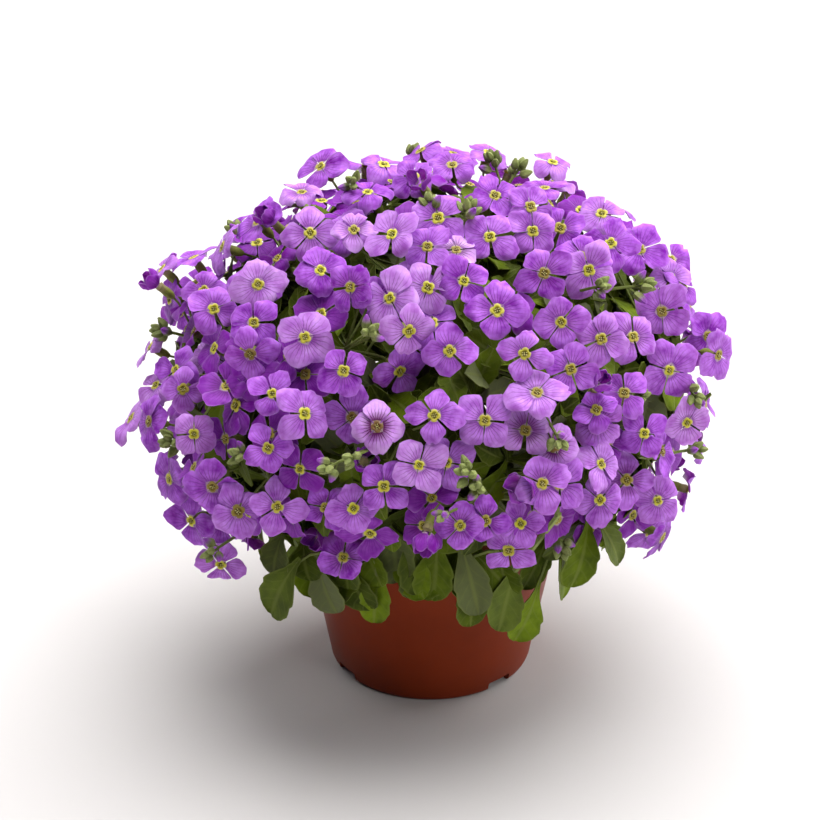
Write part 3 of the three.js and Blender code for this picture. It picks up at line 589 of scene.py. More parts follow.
def root_of(bloom):
    """Where a flower's own stalk leaves its spray: the tip, or lower where the tip lies in front."""
    for back in ROOTS_BACK:
        root = back_from_tip(bloom.spray.corners, back)
        if bloom.face.dot((bloom.place - root).normalized()) >= STEEPEST_FACE:
            break
    return root

# Partly closed flowers lie a layer deeper and fill the gaps between the others; their petals are painted
# dark as shade. Few are kept at the front right, where leaves show in the gaps instead.
DEEP_SPREAD = 420
DEEP_FIRST = 1000
DEEP_SPACE = 13.5
DEEP_BELOW = 9
DEEP_BELOW_CHANGE = 6
DEEP_TURN = 0.45
DEEP_CLOSING = 5
DEEP_SHUT = 0.85
outer = search_tree([bloom.place for bloom in kept + squeezed])
deep = []
for order in range(DEEP_SPREAD):
    index = DEEP_FIRST + order
    site = spread(DEEP_SPREAD, order)
    place = site.place - site.out * (DEEP_BELOW + DEEP_BELOW_CHANGE * draw(index, 1))
    share_in_front = 0.05 if place.x > 65 else 0.8
    left_out = site.out.dot(FRONT) > 0.2 and draw(index, 7) > share_in_front
    if left_out or outer.find(place)[2] < DEEP_SPACE or any(
            (place - other.place).length < DEEP_SPACE for other in deep):
        continue
    face = site.lifted() + swayed(index, 2) * DEEP_TURN
    bloom = Bloom(index, place, face.normalized(), 90 * draw(index, 5))
    bloom.closing = DEEP_CLOSING * draw(index, 6) ** 2
    bloom.shut = DEEP_SHUT if draw(index, 8) > 0.9 else 0
    bloom.spray = nearest_spray(place)
    deep.append(bloom)

# Flowers in front that are still furled or have half closed: their place, way and how far shut.
FURLED_FIRST = 1900
FURLED_BACK = 3
FURLED = [
    ((-3, -107, 115), (-0.2, -0.75, -0.65), 0.9), ((-5, -2, 204), (-0.3, -0.5, 0.8), 0.8),
    ((-25, -60, 187), (-0.2, -0.7, 0.6), 0.8), ((-61, -2, 190), (-0.6, -0.3, 0.75), 0.9),
    ((-104, -5, 165), (-0.7, -0.2, 0.7), 0.85), ((30, -101, 133), (-0.5, -0.8, -0.1), 0.6),
    ((58, -72, 158), (0.3, -0.5, 0.8), 0.9),
]
# Open flowers deep in the left of the mound, where they show between the ones in front. They face
# away from a point on the pot's axis.
FILLING_MIDDLE = UP * 100
FILLING = [(-72, -66, 146), (-59, -80, 142), (-76, -68, 133), (-46, -74, 163), (-66, -64, 158),
           (-52, -67, 167), (-69, -55, 163), (-81, -42, 157)]
filled = [(place, Vector(place) - FILLING_MIDDLE, 0) for place in FILLING]
for index, (place, face, shut) in enumerate(FURLED + filled, FURLED_FIRST):
    bloom = Bloom(index, Vector(place), Vector(face).normalized(), 90 * draw(index, 5))
    bloom.shut = shut
    deep.append(set_back(bloom, FURLED_BACK))
blooms = kept + squeezed + deep

# The flowers: each has four broad petals in a cross, as thin as paper, round a yellow-green eye
# with its anthers. They are violet, with finer veins that fan out and a pale edge. One flower's
# petals are bent from a flat blade, each with its own length, width, fold and wave.
PETAL_REACH = 11.6
PETAL_START = 1.5
PETAL_THICK = 0.2
PETAL_ROUNDING = 3.1
PETAL_LIFT = 0.4
PETAL_LIFT_CHANGE = 1.7
PETAL_TWIST = 1.2
PETAL_STATIONS = (0, 0.15, 0.35, 0.6, 0.8, 1)
PETAL_HALVES = (1.2, 2.2, 3.8, 5.3, 5.4, 4.25)
CUP_CHANGE = 1.8
EYE_OUTLINE = [(0, -1.1), (0.5, -0.95), (1.0, -0.1), (1.5, 0.36), (2.0, 0.42), (2.5, 0.1),
               (1.7, -0.45), (0.8, -1.4), (0, -1.5)]
EYE_MAP_WIDE = 6
ANTHERS = 6
ANTHER_SIZE = (0.42, 0.24, 0.3)
PETAL, EYE, ANTHER, CALYX, BUD, STEM, LEAF, HAIR = range(8)

class Template:
    """A small shape that is copied many times. Each copy is bent and placed corner by corner."""
    def __init__(self, name, shape, finish):
        for face in shape.faces:
            face.smooth = True
            face.material_index = finish
        shape.normal_update()
        for edge in shape.edges:
            edge.smooth = edge.calc_face_angle(0) < math.radians(50)
        self.mesh = bpy.data.meshes.new(name)
        shape.to_mesh(self.mesh)
        shape.free()
        for layer in ("tone", "age"):
            self.mesh.attributes.new(layer, "FLOAT", "POINT")
        base = np.empty(3 * len(self.mesh.vertices))
        self.mesh.vertices.foreach_get("co", base)
        self.base = base.reshape(-1, 3)

    def copy(self, target, points, tone=0.5, age=0.0):
        count = len(points)
        flat = np.ascontiguousarray(points, dtype=np.float32).ravel()
        self.mesh.vertices.foreach_set("co", flat)
        for layer, value in (("tone", tone), ("age", age)):
            self.mesh.attributes[layer].data.foreach_set("value", np.full(count, value, np.float32))
        target.from_mesh(self.mesh)

def map_of(shape, place_of):
    """Gives each corner its place on the piece's own map."""
    layer = shape.loops.layers.uv.new("UVMap")
    for face in shape.faces:
        for loop in face.loops:
            loop[layer].uv = place_of(loop.vert.co)

def blade_shape(across, along):
    """A flat closed blade, one wide and long and one thick, ready to be bent."""
    shape = bmesh.new()
    bmesh.ops.create_grid(shape, x_segments=across, y_segments=along, size=0.5)
    bmesh.ops.solidify(shape, geom=shape.faces[:], thickness=1)
    bmesh.ops.recalc_face_normals(shape, faces=shape.faces[:])
    map_of(shape, lambda co: (co.x + 0.5, co.y + 0.5))
    return shape

petal = Template("petal", blade_shape(6, 5), PETAL)
petal_u = 2 * petal.base[:, 0]
petal_v = petal.base[:, 1] + 0.5
petal_under = (petal.base[:, 2].max() - petal.base[:, 2]) * PETAL_THICK
petal_half = np.interp(petal_v, PETAL_STATIONS, PETAL_HALVES)

def turned_about(points, turned, place):
    return points @ np.array(turned.to_matrix()).T + np.array(place)

def add_petals(target, bloom, tone, age):
    """Lays a flower's four petals, which may be furled into a bud."""
    index = bloom.index
    wide = 0.83 + 0.18 * draw(index, 59)
    cup = CUP_CHANGE * sway(index, 58) + bloom.closing
    for k in range(4):
        own = 40 * index + k
        # The outline: a rounded, wavy end with a notch, and a width for each station.
        notch = 0.2 + 0.9 * draw(own, 60) ** 2
        tip = PETAL_REACH - PETAL_ROUNDING * petal_u ** 2 - notch * np.exp(-(petal_u / 0.25) ** 2)
        tip = tip + 0.22 * np.sin(6.5 * petal_u + 6.3 * draw(own, 61))
        tip = tip * wide * (1 + 0.11 * sway(own, 64))
        reach = PETAL_START + (tip - PETAL_START) * petal_v
        half = petal_half * wide * (1 + 0.10 * sway(own, 68) + 0.08 * sway(index, 69))
        # The bend: it rises to a cup, twists, waves in two lengths, turns its end down and folds.
        lift = PETAL_LIFT + PETAL_LIFT_CHANGE * sway(index, 20 + k) + cup
        twist = PETAL_TWIST * sway(index, 30 + k) + (0.4 if k % 2 else -0.4)
        rise = lift * (reach / PETAL_REACH) ** 1.6 + twist * petal_u * petal_v
        rise += 0.55 * np.sin(3.0 * petal_u + 6.3 * draw(own, 72)) * petal_v ** 2
        rise += 0.3 * np.sin(7.0 * petal_u + 6.3 * draw(own, 73)) * petal_v ** 3
        rise -= (0.3 + 2.2 * draw(own, 76)) * np.maximum(petal_v - 0.55, 0) ** 2 * 6
        rise += (0.3 + 1.3 * sway(own, 77)) * (np.abs(petal_u) - 0.4) * np.sqrt(petal_v)
        rise -= petal_under
        turn = math.radians(bloom.spin + 90 * k + 8 * sway(own, 78))
        across = petal_u * half + 0.8 * sway(own, 79) * petal_v ** 2
        if bloom.shut:
            # A shut petal wraps round the flower's axis and stands up.
            crease = 1 + 0.13 * np.sin(5 * petal_u + 4 * petal_v + 6 * draw(own, 74))
            furl = (1.2 + 2.3 * np.sin(2.7 * petal_v) + 0.3 * k) * crease - petal_under
            wrap = 0.9 * petal_u * half / (furl + 0.8)
            rise += bloom.shut * (0.92 * reach - 1 - rise)
            reach = reach + bloom.shut * (furl * np.cos(wrap) - reach)
            across = across + bloom.shut * (furl * np.sin(wrap) - across)
        points = np.stack([reach * math.cos(turn) - across * math.sin(turn),
                           reach * math.sin(turn) + across * math.cos(turn), rise + 0.05], 1)
        petal.copy(target, turned_about(points * bloom.size, bloom.turned, bloom.place), tone, age)

# The eye is a lobed cup of four, with the anthers as beads in it.
eye_shape = turned_shape(EYE_OUTLINE, 16)
for vertex in eye_shape.verts:
    lobes = 0.80 + 0.36 * abs(math.cos(2 * math.atan2(vertex.co.y, vertex.co.x))) ** 0.6
    vertex.co.xy *= lobes
map_of(eye_shape, lambda co: (0.5 + co.x / EYE_MAP_WIDE, 0.5 + co.y / EYE_MAP_WIDE))
for i in range(ANTHERS):
    turn = i * math.tau / ANTHERS + 0.3
    reach = 0.95 if i % 3 else 0.4
    place = Vector((reach * math.cos(turn), reach * math.sin(turn), 0.45 + 0.12 * (i % 2)))
    bmesh.ops.create_icosphere(eye_shape, subdivisions=1, radius=1, matrix=Matrix.Translation(place)
                               @ Matrix.Rotation(turn, 4, "Z") @ Matrix.Diagonal((*ANTHER_SIZE, 1)))
eye = Template("eye", eye_shape, EYE)
for polygon in eye.mesh.polygons:
    around = [eye.mesh.vertices[i].co for i in polygon.vertices]
    if len(around) == 3 and all(co.xy.length < 1.8 and co.z > 0.1 for co in around):
        polygon.material_index = ANTHER

def add_eye(target, bloom, tone, age):
    turn = Matrix.Rotation(math.radians(bloom.spin), 3, "Z")
    points = (eye.base * bloom.size * (0.74 + 0.18 * draw(bloom.index, 84))) @ np.array(turn).T
    eye.copy(target, turned_about(points, bloom.turned, bloom.place), tone, age)

# Own map: a place on a petal, leaf or stem across and along, out from its middle line to 1 at the
# edge, and out from its centre.
own_map, given = new_group("own_map", {})
on_map = added(own_map, "ShaderNodeUVMap", {}, uv_map="UVMap")["UV"]
split = added(own_map, "ShaderNodeSeparateXYZ", {"Vector": on_map})
aside = worked(own_map, "MULTIPLY", worked(own_map, "SUBTRACT", split["X"], 0.5), 2)
from_line = worked(own_map, "ABSOLUTE", aside)
from_centre = added(own_map, "ShaderNodeVectorMath", {0: on_map, 1: (0.5, 0.5, 0)},
                    operation="DISTANCE")["Value"]
put_out(own_map, {"Across": split["X"], "Along": split["Y"], "From Line": from_line,
                  "From Centre": from_centre})

# Growth and shade: each copy's tone, which mixes two colours, and its age. On the flowers and on the
# leaves that show in front, the tone also carries painted light and shade.
growth_and_shade, given = new_group("growth_and_shade", {"Low": (0, 0, 0), "High": (1, 1, 1)})
tone = added(growth_and_shade, "ShaderNodeAttribute", {}, attribute_name="tone")["Fac"]
age = added(growth_and_shade, "ShaderNodeAttribute", {}, attribute_name="age")["Fac"]
put_out(growth_and_shade, {"Colour": mixed(growth_and_shade, tone, given["Low"], given["High"]), "Tone": tone, "Age": age})

# Veins: lines side by side along a position, moved by a shift. A high threshold makes them thin.
veins, given = new_group("veins", {"Position": 0, "Turns": 1, "Shift": 0, "Slant": 1, "Threshold": 0.5})
run = worked(veins, "MULTIPLY", given["Position"], given["Turns"])
moved = worked(veins, "MULTIPLY", given["Shift"], given["Slant"])
wave = worked(veins, "SINE", worked(veins, "ADD", run, moved))
put_out(veins, {"Mask": ranged(veins, wave, given["Threshold"], 1.0)})

# Wash: a thin coat of another colour where a mask lies.
wash, given = new_group("wash", {"Colour": (1, 1, 1), "Coat": (0, 0, 0), "Mask": 0, "Strength": 1})
share = worked(wash, "MULTIPLY", given["Mask"], given["Strength"])
put_out(wash, {"Colour": mixed(wash, share, given["Colour"], given["Coat"])})

def washed(tree, colour, *coats):
    """Lays coats of (mask, strength, colour) over a colour, one after the other."""
    for mask, strength, coat in coats:
        colour = placed(tree, wash, Colour=colour, Coat=coat, Mask=mask, Strength=strength)["Colour"]
    return colour

# A petal runs from deep to light violet, and to a dark violet of painted shade where its tone lies below
# zero, as on the low and deep flowers. Over that lie its veins, a dark throat, a dark line or a pale foot
# at its base, and a paler rim.
petal_finish, tree, shader = plain_material("violet_petal", (0.4, 0.12, 0.7), 0.55)
spot = placed(tree, own_map)
along = spot["Along"]
clouds = placed(tree, grain, Scale=260, Detail=3)
wobble = placed(tree, grain, Scale=420)["Value"]
fan = placed(tree, veins, Position=spot["Across"], Turns=44, Shift=wobble, Slant=3.5, Threshold=0.55)
vein = worked(tree, "MULTIPLY", fan["Mask"], ranged(tree, along, 0.95, 0.15))
deep_violet = placed(tree, growth_and_shade, Low=(0.21, 0.010, 0.40), High=(0.68, 0.29, 0.88))
light_violet = placed(tree, growth_and_shade, Low=(0.53, 0.165, 0.87), High=(0.84, 0.54, 0.96))
throat = ranged(tree, worked(tree, "ADD", along, worked(tree, "MULTIPLY", vein, -0.25)), 0.5, 0.12)
young = worked(tree, "SUBTRACT", 1.0, deep_violet["Age"])
base_line = worked(tree, "MULTIPLY", ranged(tree, along, 0.24, 0.1), young)
rim = worked(tree, "MAXIMUM", ranged(tree, spot["From Line"], 0.86, 1.0), ranged(tree, along, 0.93, 1.0))
colour = washed(
    tree, mixed(tree, clouds["Mask"], deep_violet["Colour"], light_violet["Colour"]),
    # The first coat is painted shade: a dark violet where the tone lies below zero.
    (deep_violet["Tone"], -1, (0.18, 0.005, 0.30)), (vein, 0.66, (0.09, 0.006, 0.20)),
    (throat, deep_violet["Age"], (0.08, 0.003, 0.065)), (base_line, 0.55, (0.11, 0.012, 0.22)),
    (ranged(tree, along, 0.11, 0.05), 0.6, (0.62, 0.50, 0.42)), (rim, 0.3, (0.54, 0.28, 0.76)))
relief = worked(tree, "ADD", worked(tree, "MULTIPLY", vein, -0.6), clouds["Value"])
dressed(tree, shader, {
    "Base Color": colour, "Roughness": ranged(tree, clouds["Value"], 0.3, 0.7, 0.40, 0.52),
    "Specular IOR Level": 0.12, "Subsurface Weight": 0.25, "Subsurface Scale": 0.0015,
    "Subsurface Radius": (1.0, 0.5, 1.0)}, relief, 0.35, 0.0003)

# The eye is dark in its middle and yellow round it. It browns with age.
EYE_BANDS = ((0.10, (0.07, 0.07, 0.002)), (0.21, (0.24, 0.24, 0.003)), (0.31, (0.62, 0.58, 0.012)),
             (0.44, (0.74, 0.70, 0.10)))
eye_finish, tree, shader = plain_material("yellow_eye", (0.5, 0.55, 0.1), 0.5)
flecks = placed(tree, grain, Scale=900)["Value"]
spot = placed(tree, own_map)
from_middle = worked(tree, "ADD", spot["From Centre"], worked(tree, "MULTIPLY", flecks, 0.08))
bands = added(tree, "ShaderNodeValToRGB", {"Fac": from_middle})["Color"]
stops = bands.node.color_ramp.elements
for number, (position, paint) in enumerate(EYE_BANDS):
    stop = stops[number] if number < 2 else stops.new(position)
    stop.position, stop.color = position, (*paint, 1)
browned = washed(tree, bands, (placed(tree, growth_and_shade)["Age"], 0.9, (0.12, 0.03, 0.02)))
dressed(tree, shader, {"Base Color": browned}, flecks, 0.4, 0.0003)

anther_finish, tree, shader = plain_material("pale_anther", (0.6, 0.55, 0.12), 0.6)
pollen = placed(tree, grain, Scale=2200, Low=0.35, High=0.65)
dusted = mixed(tree, pollen["Mask"], (0.33, 0.30, 0.04), (0.80, 0.74, 0.30))
dressed(tree, shader, {"Base Color": dusted}, pollen["Value"], 0.5, 0.0002)

# The green parts of a spray: its stalk, the flowers' own thin stalks with the tubes of sepals that
# hold the petals, clusters of buds, and tufts of small leaves. All are a little hairy. Stalks and
# tubes are bent along a path, and leaves are bent from a flat blade.
HAIRS_ROUND = 14
HAIR_SIZE = (1, 0.035, 0.007)
HAIR_SLANT = 0.06
CALYX_LONG = 7.5
CALYX_RADII = (0.9, 1.75, 1.85, 1.6, 1.8)
CALYX_HAIR_RADII = (0.8, 1.6, 1.7, 1.5, 1.6)
BUD_RADII = (0.28, 0.46, 0.54, 0.52, 0.38, 0.12)
BUD_WIDE = 2.7
BUD_LONG = 2.9
SPRAY_STALK_RADII = (1.5, 1.3, 1.0)
TWIG_RADII = (0.7, 0.55, 0.5)
LEAF_LONG = 27
LEAF_WIDE = 12
LEAF_THICK = 0.35
LEAF_TRIES = 9
SMALL_STATIONS = (0, 0.18, 0.36, 0.5, 0.62, 0.68, 0.81, 0.9, 1.0)
SMALL_HALVES = (0.13, 0.24, 0.6, 0.88, 1.07, 0.95, 0.97, 0.66, 0.24)
LARGE_STATIONS = (0, 0.14, 0.27, 0.38, 0.48, 0.57, 0.62, 0.67, 0.75, 0.81, 0.86, 0.92, 0.97, 1.0)
LARGE_HALVES = (0.13, 0.2, 0.37, 0.63, 0.86, 1.04, 1.09, 0.99, 1.06, 1.07, 0.93, 0.8, 0.56, 0.2)
BUD_TRIES = 12
TUFT_COUNT = 150
INNER_TUFTS = 110
TUFT_LEAVES = 6

def tube_shape(sides, steps):
    """A closed tube one long, ready to be bent along a path."""
    shape = bmesh.new()
    bmesh.ops.create_cone(shape, cap_ends=True, cap_tris=False, segments=sides, radius1=1, radius2=1,
                          depth=1)
    upright = [edge for edge in shape.edges if abs(edge.verts[0].co.z - edge.verts[1].co.z) > 0.5]
    bmesh.ops.subdivide_edges(shape, edges=upright, cuts=steps - 1)
    map_of(shape, lambda co: (abs(math.atan2(co.y, co.x)) / math.pi, co.z + 0.5))
    return shape

def coat_shape():
    """Short soft hairs that stand all round a tube one long."""
    shape = bmesh.new()
    for i in range(HAIRS_ROUND):
        place = Matrix.Translation((1.45, 0, (i + 0.5) / HAIRS_ROUND - 0.5))
        lying = Matrix.Diagonal((*HAIR_SIZE, 1)) @ Matrix.Rotation(math.pi / 2, 4, "Y")
        bmesh.ops.create_cone(shape, cap_ends=True, segments=3, radius1=1, radius2=0.05, depth=1,
                              matrix=Matrix.Rotation(i * GOLDEN_ANGLE, 4, "Z") @ place @ lying)
    map_of(shape, lambda co: (0.5, 0.3))
    return shape

class Tube(Template):
    """A tube or its coat of hairs, bent along a path, with a radius at each station. What stands
    proud of the tube's wall is scaled by the length of the hairs."""
    def __init__(self, name, shape, finish):
        super().__init__(name, shape, finish)
        angle = np.arctan2(self.base[:, 1], self.base[:, 0])
        proud = np.hypot(self.base[:, 0], self.base[:, 1]) - 1
        self.cos, self.sin, self.proud = np.cos(angle)[:, None], np.sin(angle)[:, None], proud[:, None]
        self.share = np.clip(self.base[:, 2] + 0.5 + HAIR_SLANT * proud, 0, 1)

    def lay(self, target, path, radii, tone=0.5, age=0.0, hair=0.0):
        path = np.array([tuple(point) for point in path])
        way = np.gradient(path, axis=0)
        way /= np.linalg.norm(way, axis=1)[:, None]
        level = np.eye(3)[np.argmin(np.abs(way.mean(axis=0)))]
        aside = np.cross(way, level)
        aside /= np.linalg.norm(aside, axis=1)[:, None]
        stations = np.linspace(0, 1, len(path))
        middle, aside, over = (
            np.stack([np.interp(self.share, stations, rows[:, i]) for i in range(3)], 1)
            for rows in (path, aside, np.cross(way, aside)))
        radius = np.interp(self.share, np.linspace(0, 1, len(radii)), radii)[:, None] + self.proud * hair
        self.copy(target, middle - radius * (self.cos * aside - self.sin * over), tone, age)

hair_coat = Tube("hair_coat", coat_shape(), HAIR)
stalk_tube = Tube("stalk", tube_shape(8, 12), STEM)
thin_tube = Tube("thin_stalk", tube_shape(5, 5), STEM)
calyx_tube = Tube("calyx", tube_shape(8, 4), CALYX)
bud_tube = Tube("bud", tube_shape(6, 5), BUD)

def add_calyx(target, bloom):
    """Lays the tube of sepals under a flower, and the flower's own stalk."""
    below = bloom.place - bloom.face * (0.9 * bloom.size)
    root = root_of(bloom)
    away = (bloom.place - root).normalized()
    end = below - (bloom.face * 0.85 + away * 0.15).normalized() * CALYX_LONG
    calyx = [end, end.lerp(below, 0.5), below]
    calyx_tube.lay(target, calyx, CALYX_RADII, draw(bloom.index, 80))
    hair_coat.lay(target, calyx, CALYX_HAIR_RADII, hair=0.9)
    path = bezier(root, root.lerp(end, 0.4), end - bloom.face * 5, end + bloom.face * 0.6, 6)
    thin_tube.lay(target, path, (0.6, 0.45, 0.5), draw(bloom.index, 81))

def add_bud(target, foot, way, long, wide, ripe, tone):
    """Lays a bud on its own short stalk: a green tube of sepals with the furled petals at its tip."""
    neck = foot + way * long * 0.5
    bud = [neck, neck + way * long * 0.3, neck + way * long]
    thin_tube.lay(target, [foot, foot.lerp(neck, 0.5), neck], (0.35, 0.3), tone)
    radii = [share * wide for share in BUD_RADII]
    bud_tube.lay(target, bud, radii, tone, ripe)
    hair_coat.lay(target, bud, [0.9 * radius for radius in radii], hair=0.6)

def add_bud_cluster(target, root, end, index, count):
    """Lays a young raceme: its axis and the buds round its end, the youngest in the middle."""
    way = (end - root).normalized()
    path = bezier(root, root.lerp(end, 0.4), end - way * 5 + UP, end, 6)
    thin_tube.lay(target, path, (0.75, 0.6, 0.5), draw(index, 90))
    aside = way.orthogonal().normalized()
    over = way.cross(aside)
    for i in range(count):
        turn = i * GOLDEN_ANGLE + 6 * draw(index, 91)
        splay = 0.25 + 0.75 * i / count
        round_way = aside * math.cos(turn) + over * math.sin(turn)
        out = way * math.cos(splay) + round_way * math.sin(splay)
        ripe = 1.0 if i >= count - 2 and draw(index, 110 + i) > 0.35 else 0.0
        add_bud(target, end - way * (0.9 * i), out.normalized(),
                BUD_LONG + 0.4 * i + 0.6 * draw(index, 92 + i), BUD_WIDE + 0.12 * i, ripe,
                draw(index, 100 + i))

class Leaf(Template):
    """A toothed, spoon-shaped leaf with a stalk, folded along its midrib and arched along it."""
    def __init__(self, name, across, stations, halves):
        super().__init__(name, blade_shape(across, len(stations) - 1), LEAF)
        self.under = (self.base[:, 2].max() - self.base[:, 2])[:, None]
        self.u = 2 * self.base[:, 0][:, None]
        row = (self.base[:, 1] + 0.5) * (len(stations) - 1)
        self.v = np.interp(row, np.arange(len(stations)), stations)[:, None]
        self.half = np.interp(row, np.arange(len(stations)), halves)[:, None]

    def lay(self, target, place, along, up, length, width, arch, index, tone, age=0.0):
        aside = up.cross(along).normalized()
        over = along.cross(aside).normalized()
        fold = 0.12 + 0.3 * draw(index, 120)
        bend = 0.25 * sway(index, 121)
        curl = 0.5 * sway(index, 122)
        across = self.u * self.half * width / 2
        side = across + bend * self.v ** 2 * width
        rise = (fold * np.abs(across) - arch * self.v ** 2 * length + curl * across * self.v
                + 0.5 * np.sin(5 * self.v + 3 * self.u + 6 * draw(index, 123)) * self.v * width / 12
                - self.under * LEAF_THICK)
        points = (np.array(place) + np.array(along) * (self.v * length) + np.array(aside) * side
                  + np.array(over) * rise)
        self.copy(target, points, tone, age)

large_leaf = Leaf("large_leaf", 6, LARGE_STATIONS, LARGE_HALVES)
small_leaf = Leaf("small_leaf", 2, SMALL_STATIONS, SMALL_HALVES)

def add_packed_leaf(target, index, place_of, tone):
    """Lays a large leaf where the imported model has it, if it has it."""
    for attempt in range(LEAF_TRIES):
        place, along, up = place_of(attempt)
        size = 1 + 0.15 * sway(index, 4) - 0.02 * attempt
        length, width = LEAF_LONG * size, LEAF_WIDE * size
        arch = 0.2 + 0.15 * draw(index, 6)
        over = along.cross(up.cross(along).normalized()).normalized()
        if owner_of(place + along * length - over * arch * length):
            large_leaf.lay(target, place, along, up, length, width, arch, index, tone)
            return

# A leaf is mottled, with a paler midrib, side veins and margin. With age it goes grey with hairs.
leaf_finish, tree, shader = plain_material("hairy_leaf", (0.05, 0.08, 0.01), 0.55)
spot = placed(tree, own_map)
side = spot["From Line"]
clouds = placed(tree, grain, Scale=220, Detail=3)
down = placed(tree, grain, Scale=2600)["Value"]
dark_green = placed(tree, growth_and_shade, Low=(0.022, 0.032, 0.002), High=(0.115, 0.18, 0.003))
bright_green = placed(tree, growth_and_shade, Low=(0.056, 0.08, 0.003), High=(0.19, 0.28, 0.008))
ribs = placed(tree, veins, Position=spot["Along"], Turns=34, Shift=side, Slant=-9, Threshold=0.75)
midrib, margin = ranged(tree, side, 0.16, 0.04), ranged(tree, side, 0.84, 1.0)
side_veins = worked(tree, "MULTIPLY", ribs["Mask"], 0.35)
lines = worked(tree, "MAXIMUM", worked(tree, "MAXIMUM", midrib, margin), side_veins)
colour = washed(
    tree, mixed(tree, clouds["Mask"], dark_green["Colour"], bright_green["Colour"]),
    (dark_green["Age"], 0.85, (0.16, 0.18, 0.085)), (lines, 0.4, (0.22, 0.26, 0.06)))
relief = worked(tree, "ADD", worked(tree, "MULTIPLY", down, 0.5), worked(tree, "MULTIPLY", lines, -0.6))
dressed(tree, shader, {"Base Color": colour, "Specular IOR Level": 0.1}, relief, 0.5, 0.0003)

def fleshy_finish(name, low, high, tip_low, tip_high):
    """Skin of a stem, calyx or bud: it runs from one colour at its foot to another at its tip."""
    finish, tree, shader = plain_material(name, low, 0.55)
    along = placed(tree, own_map)["Along"]
    skin = placed(tree, growth_and_shade, Low=low, High=high)
    tip = mixed(tree, skin["Age"], tip_low, tip_high)
    flecks = placed(tree, grain, Scale=700, Detail=3, Low=0.45, High=0.7)["Mask"]
    colour = washed(tree, skin["Colour"], (ranged(tree, along, 0.6, 0.85), 1, tip),
                    (flecks, 0.3, (0.03, 0.04, 0.006)))
    down = placed(tree, grain, Scale=2600)["Value"]
    dressed(tree, shader, {"Base Color": colour, "Specular IOR Level": 0.2}, down, 0.5, 0.0003)
    return finish

calyx_finish = fleshy_finish("calyx_skin", (0.19, 0.18, 0.035), (0.26, 0.31, 0.055),
                             (0.32, 0.27, 0.12), (0.32, 0.27, 0.12))
bud_finish = fleshy_finish("bud_skin", (0.16, 0.20, 0.055), (0.31, 0.36, 0.12),
                           (0.27, 0.32, 0.10), (0.36, 0.09, 0.56))
stem_finish = fleshy_finish("stem_skin", (0.14, 0.18, 0.035), (0.28, 0.35, 0.09),
                            (0.17, 0.21, 0.05), (0.17, 0.21, 0.05))
hair_finish = fleshy_finish("pale_hair", (0.34, 0.38, 0.22), (0.46, 0.50, 0.34),
                            (0.46, 0.50, 0.34), (0.46, 0.50, 0.34))
FINISHES = [petal_finish, eye_finish, anther_finish, calyx_finish, bud_finish, stem_finish, leaf_finish,
            hair_finish]

NEAR_FLOWER = 14
HEADROOM = 9
FLOWER_RADIUS = 11.5
middles = search_tree([bloom.place for bloom in blooms])

def crowded(place, room=2.0):
    """Says whether a place lies on or in front of a flower's petals."""
    for _, number, _ in middles.find_range(place, NEAR_FLOWER):
        bloom = blooms[number]
        offset = place - bloom.place
        height = offset.dot(bloom.face)
        if -room < height < HEADROOM and (offset - bloom.face * height).length < FLOWER_RADIUS:
            return True
    return False

# Tufts of smaller leaves stand on twigs of the sprays, below the flowers, and fill the mound.
for order in range(TUFT_COUNT + INNER_TUFTS):
    index = 2000 + order
    inner = order >= TUFT_COUNT
    site = spread(INNER_TUFTS, order - TUFT_COUNT) if inner else spread(TUFT_COUNT, order)
    depth = 18 + 5 * max(site.out.z, 0) + 8 * draw(index, 1)
    centre = site.place - site.out * depth + swayed(index, 2) * 4
    if inner:
        centre -= site.out * (8 + 14 * draw(index, 8))
    nearest_spray(centre).tufts.append((index, site, centre))

def add_tuft(target, spray, index, site, centre):
    root = back_from_tip(spray.corners, 6 + 26 * draw(index, 5))
    path = bezier(root, root.lerp(centre, 0.35), centre - site.out * 5, centre, 5)
    thin_tube.lay(target, path, TWIG_RADII, draw(index, 6))
    aside = site.out.orthogonal().normalized()
    over = site.out.cross(aside)
    for i in range(TUFT_LEAVES):
        own = 10 * index + i
        turn = i * GOLDEN_ANGLE + 6 * draw(index, 7)
        radial = aside * math.cos(turn) + over * math.sin(turn)
        long = 15 + 8 * draw(own, 2)
        for splay in (0.6 + 0.45 * draw(own, 1), 1.15, 1.5, 1.8):
            along = (site.out * math.cos(splay) + radial * math.sin(splay) - UP * 0.15).normalized()
            if not crowded(centre + along * long) and not crowded(centre + along * long * 0.6):
                break
        small_leaf.lay(target, centre - site.out * i * 0.8, along, site.out, long,
                       long * (0.4 + 0.1 * draw(own, 3)), 0.1 + 0.25 * draw(own, 4), own,
                       draw(own, 5) ** 1.5 * 0.8, 1.0 if draw(own, 6) > 0.85 else 0.0)

# A few flowers that show are paler than the rest, or have a darker throat. The lower a flower hangs, the
# more painted shade darkens its petals, and the deep flowers, the furled and filling ones among them,
# take the darkest painted shade.
PALE = {32: 0.5, 37: 0.75, 62: 0.6, 71: 0.55, 72: 0.4}
DARK_THROAT = {37: 0.7, 62: 1.0, 71: 0.7, 72: 0.9, 80: 0.6}
DEEP_PAINTED_SHADE = -0.7
SHADE_TOP = 125
SHADE_DEPTH = 50
for bloom in blooms:
    bloom.spray.blooms.append(bloom)
    # How far down the flower hangs, which darkens its petals with painted shade.
    low = min(max((SHADE_TOP - bloom.place.z) / SHADE_DEPTH, 0), 1)
    bloom.tone = PALE.get(bloom.index, 0.5 * draw(bloom.index, 85) ** 1.9 - 0.2 * low)
    # The deep flowers take the darkest painted shade.
    if bloom.index >= DEEP_FIRST:
        bloom.tone = DEEP_PAINTED_SHADE
    bloom.age = DARK_THROAT.get(bloom.index, 0.55 * draw(bloom.index, 86) ** 2)

